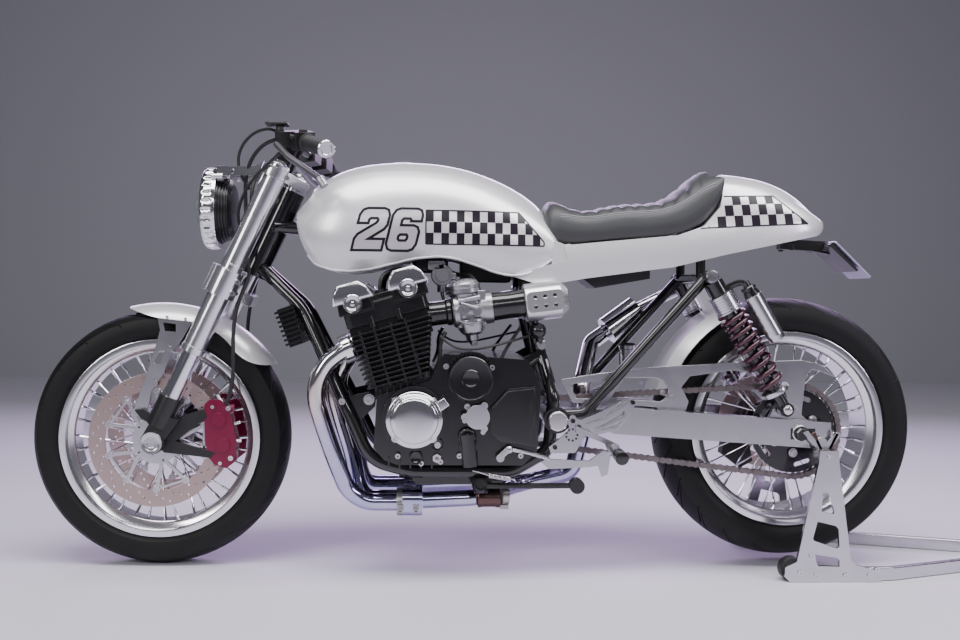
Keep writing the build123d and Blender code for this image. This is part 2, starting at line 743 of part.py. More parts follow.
# Columns: side, station, height, radius, how far it stands out of the cases
black_covers = [
    (-1, 720, 458, 60, 12),
    (-1, 720, 458, 49, 26),
    (-1, 720, 458, 18, 29),
    (-1, 716, 306, 20, 24),
    (1, 620, 368, 92, 40),
    (1, 620, 368, 60, 46),
    (1, 760, 350, 62, 20),
]
with BuildPart() as engine_cases:
    with BuildSketch(side.offset(-case_half)):
        with BuildLine():
            Polyline((505, 300), (530, 272), (560, 262), (840, 262), (872, 292), (880, 440),
                     (850, 500), (660, 512), (630, 452), (512, 418), (505, 300))
        make_face()
    extrude(amount=2 * case_half)
    with BuildSketch(side.offset(-112)):
        with BuildLine():
            Polyline((570, 262), (600, 205), (800, 205), (830, 262), (570, 262))
        make_face()
    extrude(amount=224)
    with BuildSketch(side.offset(case_half)):
        with Locations((596, 368)):
            Circle(72)
        with BuildLine():
            Polyline((763, 389), (803, 434), (865, 440), (874, 305), (822, 312), (787, 314),
                     (760, 340), (763, 389))
        make_face()
    extrude(amount=16)
    for sign, s, z, radius, depth in black_covers:
        with BuildSketch(side.offset(case_half if sign < 0 else -case_half - depth)):
            with Locations((s, z)):
                Circle(radius)
        extrude(amount=depth)
    with BuildSketch(side.offset(sprocket_offset - chain_width / 2 - clear)):
        chain_outline(chain_height / 2 + clear)
    extrude(amount=chain_width + 2 * clear, mode=Mode.SUBTRACT)
    for loop in loops.values():
        add(loop.part, mode=Mode.SUBTRACT)
engine_cases.part.label = "engine_cases"

barrel_top = 96.0
head_top = 150.0
fin_levels = int(head_top // fin_pitch)
with BuildPart() as cylinder_block:
    with BuildSketch(barrel_plane.offset(-24)):
        Rectangle(112, 2 * engine_half_width - 40)
    extrude(amount=head_top + 24)
    with BuildSketch(barrel_plane.offset(barrel_top)):
        with Locations((16, 0)):
            Rectangle(180, 2 * engine_half_width - 30)
    extrude(amount=head_top - barrel_top)
    for level in range(1, fin_levels):
        height = fin_pitch * level
        reach = 140 + 62 * level / fin_levels
        with BuildSketch(barrel_plane.offset(height)):
            with Locations((17 * level / fin_levels, 0)):
                RectangleRounded(reach, 2 * engine_half_width + 10, 14)
        extrude(amount=fin_thick)
    add(engine_cases.part, mode=Mode.SUBTRACT)
cylinder_block.part.label = "cylinder_block"
export_step(cylinder_block.part, "parts/cylinder_block.step")
export_step(engine_cases.part, "parts/engine_cases.step")

cam_places = (-46.0, 80.0)
cam_height = 212.0
cover_reach = engine_half_width + 22
with BuildPart() as cylinder_head:
    with BuildSketch(barrel_plane.offset(head_top)):
        with Locations((17, 0)):
            RectangleRounded(190, 2 * engine_half_width - 16, 16)
    extrude(amount=46)
    for place in cam_places:
        far_end = barrel_plane.from_local_coords(Vector(place, engine_half_width, cam_height))
        with BuildSketch(Plane(origin=far_end, x_dir=barrel_plane.x_dir, z_dir=(0, -1, 0))):
            with BuildLine():
                Polyline((-40, -30), (-36, 18), (-24, 32), (22, 32), (38, 14), (40, -30), (-40, -30))
            make_face()
        extrude(amount=2 * engine_half_width)
    with BuildSketch(barrel_plane.offset(head_top + 40)):
        with Locations((17, 0)):
            Rectangle(70, 2 * engine_half_width - 60)
    extrude(amount=22)
cylinder_head.part.label = "cylinder_head"
export_step(cylinder_head.part, "parts/cylinder_head.step")

# Bright covers: cam ends with their round plugs, alternator, and the three-eared cover behind it
with BuildPart() as engine_covers:
    for sign in (-1, 1):
        for place in cam_places:
            start = engine_half_width if sign < 0 else -cover_reach
            cam_end = barrel_plane.from_local_coords(Vector(place, -start, cam_height))
            with BuildSketch(Plane(origin=cam_end, x_dir=barrel_plane.x_dir, z_dir=(0, -1, 0))):
                with BuildLine():
                    Polyline((-42, -4), (-36, 22), (-24, 36), (22, 36), (34, 24), (44, -4), (-42, -4))
                make_face()
                with Locations((-2, -8)):
                    Circle(21)
            extrude(amount=cover_reach - engine_half_width)
            start = cover_reach if sign < 0 else -cover_reach - 6
            cam_end = barrel_plane.from_local_coords(Vector(place, -start, cam_height))
            with BuildSketch(Plane(origin=cam_end, x_dir=barrel_plane.x_dir, z_dir=(0, -1, 0))):
                with Locations((-2, -8)):
                    Circle(18)
            extrude(amount=6)
    with BuildSketch(side.offset(case_half + 16)):
        with Locations((596, 368)):
            Circle(60)
            with PolarLocations(58, 4, start_angle=45):
                Circle(9)
    extrude(amount=24)
    with BuildSketch(side.offset(case_half + 40)):
        with Locations((596, 368)):
            Circle(50)
    extrude(amount=6)
    with BuildSketch(side.offset(case_half)):
        with Locations((736, 374)):
            Circle(27)
            with PolarLocations(29, 3, start_angle=60):
                Circle(8)
    extrude(amount=34)
    add(engine_cases.part, mode=Mode.SUBTRACT)
engine_covers.part.label = "engine_covers"
export_step(engine_covers.part, "parts/engine_covers.step")

# Four carburettors in a row behind the head, and their pod filters
carb_rows = (-150.0, -56.0, 56.0, 150.0)
intake_plane = Plane(origin=at(660, 0, 603), x_dir=(0, 1, 0), z_dir=(cos(radians(7.5)), 0, sin(radians(7.5))))
with BuildPart() as carburettors:
    for y in carb_rows:
        with BuildSketch(intake_plane.offset(-52)):
            with Locations((y, 0)):
                Circle(25)
        extrude(amount=76)
        with BuildSketch(intake_plane.offset(24)):
            with Locations((y, 0)):
                Circle(33)
        extrude(amount=18)
        with BuildSketch(intake_plane.offset(42)):
            with Locations((y, 0)):
                Circle(29)
        extrude(amount=50)
        with BuildSketch(intake_plane.offset(92)):
            with Locations((y, 0)):
                Circle(35)
        extrude(amount=16)
        rod(at(714, y, 610), at(702, y, 664), 27)
        rod(at(703, y, 660), at(700, y, 674), 31)
        rod(at(724, y, 600), at(736, y, 552), 23)
        rod(at(736, y, 554), at(742, y, 530), 12)
    rod(at(735, -150, 586), at(735, 150, 586), 9)
    rod(at(706, -150, 650), at(706, 150, 650), 9)
    add(cylinder_block.part, mode=Mode.SUBTRACT)
    add(cylinder_head.part, mode=Mode.SUBTRACT)
    add(engine_cases.part, mode=Mode.SUBTRACT)
carburettors.part.label = "carburettors"
export_step(carburettors.part, "parts/carburettors.step")

# Columns: distance from the middle plane, radius
pods = ((-156.0, 43.0), (-54.0, 40.0), (54.0, 40.0), (156.0, 43.0))
with BuildPart() as pod_filters:
    for y, wide in pods:
        with BuildSketch(intake_plane.offset(108)):
            with Locations((y, 0)):
                Circle(31)
        extrude(amount=76)
        with BuildSketch(intake_plane.offset(184)):
            with Locations((y, 0)):
                Circle(wide)
        extrude(amount=84)
        with BuildSketch(intake_plane.offset(268)):
            with Locations((y, 0)):
                Circle(wide)
        extrude(amount=16, taper=40)
    for loop in loops.values():
        add(loop.part, mode=Mode.SUBTRACT)
pod_filters.part.label = "pod_filters"
export_step(pod_filters.part, "parts/pod_filters.step")

# Oil cooler in front of the head, with the ribs of its core
cooler_tilt = 20.0
cooler_plane = Plane(origin=at(289, 0, 609), x_dir=(cos(radians(cooler_tilt)), 0, sin(radians(cooler_tilt))),
                     z_dir=(sin(radians(cooler_tilt)), 0, -cos(radians(cooler_tilt))))
with BuildPart() as oil_cooler:
    with BuildSketch(cooler_plane):
        with Locations((2, 0)):
            Rectangle(32, 196)
    extrude(amount=92)
    for row in range(8):
        with BuildSketch(cooler_plane.offset(4 + 11 * row)):
            with Locations((2, 0)):
                Rectangle(46, 210)
        extrude(amount=5)
    for y in (-84, 70):
        with BuildSketch(side.offset(y)):
            with Locations((344, 566)):
                Rectangle(34, 16)
        extrude(amount=14)
    for loop in loops.values():
        add(loop.part, mode=Mode.SUBTRACT)
oil_cooler.part.label = "oil_cooler"
export_step(oil_cooler.part, "parts/oil_cooler.step")

# Exhaust: four headers with their port clamps, a collector under the engine and a slim silencer on the right
header_radius = 20.0
# Columns: distance from the middle plane at the port, the same under the engine, how far it lies further back
headers = [(165, 122, 0), (55, 78, 34)]
port_s, port_z = 456, 526
port_tilt = Vector(-cos(radians(24)), 0, -sin(radians(24)))
# Columns: station, height, share of the lie further back, share of the way in from the port to the low side
header_line = (
    (430, 514, 0.0, 0.0), (398, 489, 1.0, 0.0), (376, 449, 1.0, 0.0), (373, 404, 1.0, 0.1),
    (390, 346, 1.0, 0.25), (416, 268, 1.0, 0.45), (444, 196, 0.6, 0.8), (484, 166, 0.0, 1.0),
    (570, 166, 0.0, 1.0),
)
with BuildPart() as exhaust_headers:
    for sign in (-1, 1):
        for port_y, low_y, lead in headers:
            port = at(port_s, sign * port_y, port_z)
            smooth_tube([port] + [at(s + lead * back, sign * (port_y + (low_y - port_y) * inwards), z)
                                  for s, z, back, inwards in header_line], header_radius)
            rod(port, port + 20 * port_tilt, 28)
    add(cylinder_block.part, mode=Mode.SUBTRACT)
    for loop in loops.values():
        add(loop.part, mode=Mode.SUBTRACT)
exhaust_headers.part.label = "exhaust_headers"
export_step(exhaust_headers.part, "parts/exhaust_headers.step")

with BuildPart() as silencer:
    for y in (-100, 100):
        with BuildSketch(Plane(origin=at(570, y, 166), x_dir=(0, 1, 0), z_dir=(1, 0, 0))):
            RectangleRounded(92, 62, 24)
        extrude(amount=46)
        tube([at(616, y, 166), at(740, y, 172), at(850, 50 + y * 0.15, 178), at(900, 50, 188)], 19, 50)
    tube([at(894, 50, 187), at(985, 50, 206), at(1010, 50, 300), at(1008, 62, 430), at(1042, 142, 526),
          at(1092, 178, 556)], 21, 45)
    rod(at(1090, 177, 555), at(1170, 190, 612), 37)
    tube([at(1168, 190, 611), at(1240, 203, 646), at(1312, 214, 678)], 16, 60)
    add(exhaust_headers.part, mode=Mode.SUBTRACT)
silencer.part.label = "silencer"
export_step(silencer.part, "parts/silencer.step")

# Bodywork tables. Columns: station, bottom, top, half width at the bottom, at the widest and its height,
# at the shoulder and its height
tank_sections = [
    (318, 778, 842, 52, 84, 812, 58, 836),
    (352, 716, 892, 82, 106, 800, 70, 872),
    (430, 694, 938, 112, 134, 800, 84, 912),
    (560, 716, 958, 124, 142, 806, 88, 930),
    (690, 724, 948, 124, 140, 806, 86, 920),
    (800, 690, 912, 120, 132, 790, 78, 884),
    (880, 706, 862, 112, 118, 776, 70, 838),
    (930, 724, 742, 108, 108, 732, 60, 740),
]
seat_sections = [
    (897, 780, 852, 70, 84, 812, 52, 844),
    (925, 766, 870, 92, 103, 806, 66, 860),
    (985, 770, 850, 102, 108, 800, 78, 842),
    (1110, 782, 868, 102, 108, 812, 78, 858),
    (1185, 790, 880, 102, 108, 822, 78, 868),
    (1235, 804, 915, 102, 107, 848, 74, 900),
    (1290, 846, 951, 94, 104, 886, 62, 936),
    (1318, 910, 948, 84, 90, 926, 52, 940),
]
cowl_half = 118.0
cowl_sections = [
    (790, 640, 897, cowl_half - 14, cowl_half, 740, cowl_half - 26, 848),
    (890, 640, 912, cowl_half - 12, cowl_half, 750, cowl_half - 26, 864),
    (990, 640, 928, cowl_half - 10, cowl_half, 760, cowl_half - 26, 879),
    (1090, 655, 934, cowl_half - 11, cowl_half, 771, cowl_half - 28, 890),
    (1180, 668, 939, cowl_half - 12, cowl_half, 781, cowl_half - 32, 900),
    (1260, 680, 943, cowl_half - 13, cowl_half, 789, cowl_half - 37, 909),
    (1330, 694, 944, cowl_half - 14, cowl_half, 797, cowl_half - 42, 914),
    (1390, 712, 938, cowl_half - 18, cowl_half - 4, 808, cowl_half - 47, 908),
    (1450, 733, 924, cowl_half - 26, cowl_half - 12, 819, cowl_half - 54, 896),
    (1520, 762, 886, cowl_half - 44, cowl_half - 28, 830, cowl_half - 68, 866),
    (1576, 800, 838, cowl_half - 86, cowl_half - 76, 822, cowl_half - 96, 834),
]

# Fuel tank
with BuildPart() as fuel_tank:
    loft(sections=[body_section(*row) for row in tank_sections])
    with BuildSketch(Plane(origin=at(300, 0, 0), x_dir=(0, 1, 0), z_dir=(1, 0, 0))):
        with Locations((0, 740)):
            Rectangle(170, 150)
    extrude(amount=700, mode=Mode.SUBTRACT)
    with BuildSketch(side.offset(-72)):
        with BuildLine():
            Polyline((280, 700), (280, 960), (372, 960), (352, 880), (340, 700), (280, 700))
        make_face()
    extrude(amount=144, mode=Mode.SUBTRACT)
    for loop in loops.values():
        add(loop.part, mode=Mode.SUBTRACT)
    add(subframe.part, mode=Mode.SUBTRACT)
fuel_tank.part.label = "fuel_tank"
export_step(fuel_tank.part, "parts/fuel_tank.step")

# Seat pad: it rises on the tank in front and on the hump behind
with BuildPart() as seat:
    loft(sections=[body_section(*row) for row in seat_sections])
    add(fuel_tank.part, mode=Mode.SUBTRACT)
seat.part.label = "seat"
export_step(seat.part, "parts/seat.step")

# Tail unit: side panels along the seat that join into the hump behind it
panel = 10.0
hollow_front = 760.0            # between these stations the unit is open inside, under the seat
hump_front = 1262.0
with BuildPart() as tail_unit:
    loft(sections=[body_section(*row) for row in cowl_sections])
    with BuildSketch(side.offset(-cowl_half - 10)):
        with BuildLine():
            Polyline((812, 690), (888, 668), (990, 686), (1195, 715), (1323, 747), (1543, 794))
            ThreePointArc((1543, 794), (1568, 812), (1576, 838))
            Polyline((1576, 838), (1576, 980), (1332, 980), (1328, 944), (1306, 858), (1266, 812),
                     (1203, 789), (938, 762), (944, 728), (812, 690))
        make_face()
    extrude(amount=2 * cowl_half + 20, mode=Mode.INTERSECT)
    with BuildSketch(plan.offset(600)):
        with Locations(((hollow_front + hump_front) / 2, 0)):
            Rectangle(hump_front - hollow_front, 2 * (cowl_half - panel))
    extrude(amount=400, mode=Mode.SUBTRACT)
    add(seat.part, mode=Mode.SUBTRACT)
tail_unit.part.label = "tail_unit"

# Seat pan, and the box and plate bracket that hang from it
with BuildPart() as seat_pan:
    with BuildSketch(side.offset(-cowl_half + panel)):
        with BuildLine():
            Polyline((945, 762), (1203, 788), (hump_front, 810), (hump_front, 801), (1206, 780),
                     (945, 754), (945, 762))
        make_face()
    extrude(amount=2 * (cowl_half - panel))
    with BuildSketch(side.offset(-62)):
        with BuildLine():
            Polyline((990, 765), (990, 686), (1019, 664), (1150, 688), (1150, 780), (990, 765))
        make_face()
    extrude(amount=124)
    add(subframe.part, mode=Mode.SUBTRACT)
    add(tail_unit.part, mode=Mode.SUBTRACT)
seat_pan.part.label = "seat_pan"
export_step(seat_pan.part, "parts/seat_pan.step")

with BuildPart() as tail_trimmed:
    add(tail_unit.part)
    add(subframe.part, mode=Mode.SUBTRACT)
    add(fuel_tank.part, mode=Mode.SUBTRACT)
tail_trimmed.part.label = "tail_unit"
export_step(tail_trimmed.part, "parts/tail_unit.step")

# Number plate, blank, on its bracket
plate_width = 130.0
plate_plane = Plane(origin=at(1640, 0, 739), x_dir=(0, 1, 0), z_dir=(0.69, 0, 0.72))
with BuildPart() as number_plate:
    with BuildSketch(plate_plane):
        RectangleRounded(plate_width, 124, 6)
    extrude(amount=4)
number_plate.part.label = "number_plate"
export_step(number_plate.part, "parts/number_plate.step")

with BuildPart() as plate_bracket:
    with BuildSketch(side.offset(-62)):
        with BuildLine():
            Polyline((1590, 779), (1656, 716), (1652, 712), (1582, 775), (1590, 779))
        make_face()
    extrude(amount=124)
    with BuildSketch(side.offset(-14)):
        with BuildLine():
            Polyline((1480, 790), (1600, 786), (1612, 760), (1604, 754), (1560, 762), (1480, 766),
                     (1480, 790))
        make_face()
    extrude(amount=28)
    add(tail_unit.part, mode=Mode.SUBTRACT)
    add(number_plate.part, mode=Mode.SUBTRACT)
plate_bracket.part.label = "plate_bracket"
export_step(plate_bracket.part, "parts/plate_bracket.step")

# Swingarm: two box beams, pivot tube and rear axle
beam_slope = -0.0625
beam_front = 109.0              # from the pivot back to the beam's front end
beam_tail = 74.0                # from the rear axle back to the beam's rear end
lug_inner = 90.0
lug_outer = boss_inner
spool = (wheelbase + 44.0, rear_axle_z - 21.0)


def beam_z(s):
    """Height of the beam's middle line at a station."""
    return rear_axle_z - 2 + beam_slope * (s - wheelbase)


with BuildPart() as swingarm:
    for sign in (-1, 1):
        start = beam_offset if sign < 0 else -beam_offset - beam_width
        half = beam_height / 2
        nose, tail = pivot_s + beam_front, wheelbase + beam_tail
        with BuildSketch(side.offset(start)):
            with BuildLine():
                Polyline((nose, beam_z(nose) + half - 6), (nose + 8, beam_z(nose) + half),
                         (tail, beam_z(tail) + half), (tail, beam_z(tail) - half),
                         (nose + 26, beam_z(nose) - half), (nose, beam_z(nose) - half + 8),
                         (nose, beam_z(nose) + half - 6))
            make_face()
        extrude(amount=beam_width)
        start = lug_inner if sign < 0 else -lug_outer
        with BuildSketch(side.offset(start)):
            with BuildLine():
                Polyline((pivot_s, pivot_z + 24), (nose + 80, pivot_z + 20), (nose + 80, pivot_z - 20),
                         (pivot_s, pivot_z - 24), (pivot_s, pivot_z + 24))
            make_face()
            with Locations((pivot_s, pivot_z)):
                Circle(24)
        extrude(amount=lug_outer - lug_inner)
        start = beam_offset + 2 if sign < 0 else -beam_offset - 16
        with BuildSketch(rear_side.offset(start)):
            with BuildLine():
                Polyline((-70, rear_axle_z + 26), (-48, rear_axle_z + 70), (-21, rear_axle_z + 70),
                         (28, rear_axle_z + 24), (-70, rear_axle_z + 26))
            make_face()
        extrude(amount=14)
        rod(at(shock_bottom[0], sign * (beam_offset + 4), shock_bottom[1]),
            at(shock_bottom[0], sign * (shock_offset + 18), shock_bottom[1]), 8)
        rod(at(spool[0], sign * (beam_offset + 4), spool[1]), at(spool[0], sign * 176, spool[1]), 13)
    for s, radius in ((pivot_s, 24), (pivot_s + 174, 22)):
        with BuildSketch(side.offset(-lug_outer)):
            with Locations((s, pivot_z)):
                Circle(radius)
        extrude(amount=2 * lug_outer)
    add(subframe.part, mode=Mode.SUBTRACT)
    with BuildSketch(side.offset(-200)):
        with Locations((wheelbase, rear_axle_z)):
            Circle(axle_radius)
        with Locations((pivot_s, pivot_z)):
            Circle(pivot_bolt_radius)
    extrude(amount=400, mode=Mode.SUBTRACT)
swingarm.part.label = "swingarm"
export_step(swingarm.part, "parts/swingarm.step")

# Columns: station, height, radius, half length between nuts, nut radius, nut height
through_bolts = (
    (wheelbase, rear_axle_z, axle_radius, beam_offset + beam_width, 19, 8),
    (pivot_s, pivot_z, pivot_bolt_radius, boss_outer, 20, 12),
)
with BuildPart() as rear_axle_shaft:
    for s, z, radius, half, nut, tall in through_bolts:
        with BuildSketch(side.offset(-half)):
            with Locations((s, z)):
                Circle(radius)
        extrude(amount=2 * half)
        for start in (half, -half - tall):
            with BuildSketch(side.offset(start)):
                with Locations((s, z)):
                    Circle(nut)
            extrude(amount=tall)
rear_axle_shaft.part.label = "rear_axle_shaft"
export_step(rear_axle_shaft.part, "parts/rear_axle_shaft.step")

# Rear wheel
with BuildPart() as rear_tyre:
    with BuildSketch(rear_section):
        tyre_profile(rear_tyre_radius, rear_tyre_width, rear_rim_width)
    revolve(axis=rear_axis)
rear_tyre.part.label = "rear_tyre"
export_step(rear_tyre.part, "parts/rear_tyre.step")

with BuildPart() as rear_rim:
    with BuildSketch(rear_section):
        rim_profile(rear_rim_width)
    revolve(axis=rear_axis)
rear_rim.part.label = "rear_rim"
export_step(rear_rim.part, "parts/rear_rim.step")

rear_hub_half = 40.0
rear_hub_end = sprocket_offset - 6
with BuildPart() as rear_hub:
    with BuildSketch(side.offset(-rear_hub_end)):
        with Locations((wheelbase, rear_axle_z)):
            Circle(rear_hub_radius)
    extrude(amount=2 * rear_hub_end)
    for face in (-1, 1):
        with BuildSketch(side.offset(face * rear_hub_half - 4)):
            with Locations((wheelbase, rear_axle_z)):
                Circle(spoke_flange_radius + 4)
        extrude(amount=8)
    with BuildSketch(side.offset(58)):
        with Locations((wheelbase, rear_axle_z)):
            Circle(72)
    extrude(amount=rear_hub_end - 58)
    with BuildSketch(side.offset(-rear_hub_end)):
        with Locations((wheelbase, rear_axle_z)):
            Circle(50)
    extrude(amount=12)
    spokes(rear_axle, rear_hub_half)
    add(rear_rim.part, mode=Mode.SUBTRACT)
    with BuildSketch(side.offset(-rear_hub_end)):
        with Locations((wheelbase, rear_axle_z)):
            Circle(axle_radius + running_gap)
    extrude(amount=2 * rear_hub_end, mode=Mode.SUBTRACT)
rear_hub.part.label = "rear_hub"
export_step(rear_hub.part, "parts/rear_hub.step")

with BuildPart() as rear_sprocket:
    with BuildSketch(side.offset(rear_hub_end)):
        with Locations((wheelbase, rear_axle_z)):
            Circle(rear_pitch_radius - chain_height / 2 - 1)
            Circle(axle_radius + 14, mode=Mode.SUBTRACT)
            with PolarLocations(rear_pitch_radius - 4, rear_teeth):
                Circle(5.6, mode=Mode.SUBTRACT)
            with PolarLocations(80, 5):
                SlotOverall(40, 11, rotation=90, mode=Mode.SUBTRACT)
    extrude(amount=7)
rear_sprocket.part.label = "rear_sprocket"
export_step(rear_sprocket.part, "parts/rear_sprocket.step")

with BuildPart() as rear_disc:
    with BuildSketch(side.offset(-rear_hub_end - disc_thick)):
        with Locations((wheelbase, rear_axle_z)):
            Circle(rear_disc_radius)
            Circle(84, mode=Mode.SUBTRACT)
            Circle(50)
            with PolarLocations(0, 6):
                with Locations((43, 0)):
                    Rectangle(86, 12)
            Circle(axle_radius + 14, mode=Mode.SUBTRACT)
    extrude(amount=disc_thick)
rear_disc.part.label = "rear_disc"
export_step(rear_disc.part, "parts/rear_disc.step")

# Chain: links on the pitch line of both sprockets, waisted between their pins, and the front sprocket
link_waist = 9.0
link_count = 2 * round((drive_length / chain_pitch) + (rear_teeth + front_teeth) / 4)


def chain_pins():
    """Places of the pins, evenly spaced along the pitch line from where the upper run leaves the front."""
    run = sqrt(drive_length ** 2 - (rear_pitch_radius - front_pitch_radius) ** 2)
    rear_wrap, front_wrap = 2 * wrap, 2 * (pi - wrap)
    lengths = (run, rear_pitch_radius * rear_wrap, run, front_pitch_radius * front_wrap)
    step = sum(lengths) / link_count
    upper, lower = drive_angle + wrap, drive_angle - wrap
    pins = []
    for index in range(link_count):
        way = index * step
        if way < lengths[0]:
            base, angle, out = upper - pi / 2, upper, way
            s = front_sprocket_s + front_pitch_radius * cos(angle) + out * cos(base)
            z = front_sprocket_z + front_pitch_radius * sin(angle) + out * sin(base)
        elif way < lengths[0] + lengths[1]:
            angle = upper - (way - lengths[0]) / rear_pitch_radius
            s, z = wheelbase + rear_pitch_radius * cos(angle), rear_axle_z + rear_pitch_radius * sin(angle)
        elif way < lengths[0] + lengths[1] + lengths[2]:
            base, out = lower - pi / 2, way - lengths[0] - lengths[1]
            s = wheelbase + rear_pitch_radius * cos(lower) + out * cos(base)
            z = rear_axle_z + rear_pitch_radius * sin(lower) + out * sin(base)
        else:
            angle = lower - (way - lengths[0] - lengths[1] - lengths[2]) / front_pitch_radius
            s = front_sprocket_s + front_pitch_radius * cos(angle)
            z = front_sprocket_z + front_pitch_radius * sin(angle)
        pins.append((s, z))
    return pins


with BuildPart() as chain:
    with BuildSketch(side.offset(sprocket_offset - chain_width / 2)):
        chain_outline(link_waist / 2)
    extrude(amount=chain_width)
    with BuildSketch(side.offset(sprocket_offset - chain_width / 2)):
        chain_outline(-link_waist / 2)
    extrude(amount=chain_width, mode=Mode.SUBTRACT)
    with BuildSketch(side.offset(sprocket_offset - chain_width / 2)):
        with Locations(*chain_pins()):
            RegularPolygon(chain_height / 2, 8)
    extrude(amount=chain_width)
    with BuildSketch(side.offset(sprocket_offset - 3.5)):
        with Locations((front_sprocket_s, front_sprocket_z)):
            Circle(front_pitch_radius)
    extrude(amount=7)
    with BuildSketch(side.offset(80)):
        with Locations((front_sprocket_s, front_sprocket_z)):
            Circle(14)
    extrude(amount=sprocket_offset - 80 + 8)
    add(engine_cases.part, mode=Mode.SUBTRACT)
chain.part.label = "chain"
export_step(chain.part, "parts/chain.step")

# Chain guard: one pressed plate with windows, whose stations spread with the swingarm's length
guard_offset = 116.0
guard_thick = 4.0
guard_span = 565.0              # from pivot to rear axle in the outlines below
guard_spread = (wheelbase - pivot_s) / guard_span


def guard_line(*points):
    """Closed outline of stations behind the pivot and heights above the floor."""
    with BuildLine() as outline:
        Polyline(*[(pivot_s + run * guard_spread, z) for run, z in points], close=True)
    make_face(outline.edges())


with BuildPart() as chain_guard:
    with BuildSketch(side.offset(guard_offset)):
        guard_line((11, 451), (102, 466), (218, 481), (418, 494), (576, 501), (609, 495), (631, 488),
                   (663, 461), (619, 477), (601, 479), (589, 460), (579, 348), (562, 348), (537, 443),
                   (513, 473), (409, 475), (315, 461), (294, 434), (313, 402), (302, 368), (252, 370),
                   (239, 388), (161, 394), (40, 397))
    extrude(amount=guard_thick)
    with BuildSketch(side.offset(guard_offset)):
        guard_line((35, 437), (44, 441), (121, 449), (123, 444), (98, 407), (49, 407))
        guard_line((160, 456), (230, 457), (253, 449), (264, 432), (261, 414), (247, 402), (129, 408))
    extrude(amount=guard_thick, mode=Mode.SUBTRACT)
    add(swingarm.part, mode=Mode.SUBTRACT)
chain_guard.part.label = "chain_guard"
export_step(chain_guard.part, "parts/chain_guard.step")

# Hugger: curved sheet between the tyre and the frame, on a stay that points at the rear axle
hugger_radius = rear_tyre_radius + 14
stay_run = Vector(wheelbase - cross_tube[0], rear_axle_z - cross_tube[1])
hub_centre = Vector(0, rear_axle_z)
stay_side = Vector(-stay_run.Y, stay_run.X).normalized() * 11
hugger_turn = (-3.0, 44.0)      # degrees either side of the stay, up and down
with BuildPart() as hugger_stay:
    with BuildSketch(rear_side.offset(-20)):
        with BuildLine():
            Polyline(hub_centre + stay_side, hub_centre - stay_run + stay_side,
                     hub_centre - stay_run - stay_side, hub_centre - stay_side, close=True)
        make_face()
    extrude(amount=40)
    with BuildSketch(rear_side.offset(-120)):
        with Locations((0, rear_axle_z)):
            Circle(hugger_radius + 1)
    extrude(amount=240, mode=Mode.SUBTRACT)
    add(subframe.part, mode=Mode.SUBTRACT)

with BuildPart() as hugger:
    with BuildSketch(rear_section):
        with BuildLine():
            Polyline((-84, hugger_radius - 24), (-60, hugger_radius), (60, hugger_radius),
                     (84, hugger_radius - 24), (87, hugger_radius - 22), (61, hugger_radius + 3),
                     (-61, hugger_radius + 3), (-87, hugger_radius - 22), (-84, hugger_radius - 24))
        make_face()
    revolve(axis=rear_axis)
    with BuildSketch(rear_side.offset(-120)):
        with BuildLine():
            reach = Vector(-stay_run.X, -stay_run.Y).normalized() * 500
            corners = [hub_centre + reach.rotate(Axis.Z, turn) for turn in hugger_turn]
            Polyline(hub_centre, *corners, close=True)
        make_face()
    extrude(amount=240, mode=Mode.INTERSECT)
    add(hugger_stay.part)
hugger.part.label = "hugger"
export_step(hugger.part, "parts/hugger.step")

# Shock absorbers: damper bodies and reservoirs, and the coils round them
shock_vector = at(shock_bottom[0], 0, shock_bottom[1]) - at(shock_top[0], 0, shock_top[1])
shock_length = shock_vector.length
shock_dir = shock_vector.normalized()
coil_radius = 28.0
coil_wire = 4.5
coil_turns = 9
coil_start = 92.0
seat_start = shock_length - 52
# Columns: start along the shock, end, radius
damper_steps = [
    (12, 60, 24),
    (60, 88, 33),
    (88, 170, 21),
    (170, seat_start, 12),
    (seat_start, seat_start + 12, 32),
    (seat_start + 12, shock_length - 11, 13),
]
reservoir_start = (1362.0, 168.0, 656.0)
reservoir_length = 122.0
with BuildPart() as shock_bodies:
    for sign in (-1, 1):
        top = at(shock_top[0], sign * shock_offset, shock_top[1])
        end = at(shock_bottom[0], sign * shock_offset, shock_bottom[1])
        for start, stop, radius in damper_steps:
            rod(top + shock_dir * start, top + shock_dir * stop, radius)
        for centre in (top, end):
            rod(centre - Vector(0, 14, 0), centre + Vector(0, 14, 0), 15)
        rest = at(reservoir_start[0], sign * reservoir_start[1], reservoir_start[2])
        rod(rest, rest + shock_dir * reservoir_length, 20)
        rod(rest - shock_dir * 16, rest, 16)
        rod(top + shock_dir * 44, rest + shock_dir * 6, 8)
    add(subframe.part, mode=Mode.SUBTRACT)
    add(swingarm.part, mode=Mode.SUBTRACT)
shock_bodies.part.label = "shock_bodies"
export_step(shock_bodies.part, "parts/shock_bodies.step")

coil_height = seat_start - coil_start + 8
with BuildPart() as shock_springs:
    for sign in (-1, 1):
        foot = at(shock_top[0], sign * shock_offset, shock_top[1]) + shock_dir * (coil_start - 4)
        with BuildLine() as coil:
            Helix(pitch=coil_height / coil_turns, height=coil_height, radius=coil_radius, center=foot,
                  direction=shock_dir)
        with BuildSketch(Plane(origin=coil.line @ 0, z_dir=coil.line % 0)) as wire:
            Circle(coil_wire)
        sweep(wire.sketch, path=coil.line, is_frenet=True)
    add(shock_bodies.part, mode=Mode.SUBTRACT)
shock_springs.part.label = "shock_springs"
export_step(shock_springs.part, "parts/shock_springs.step")

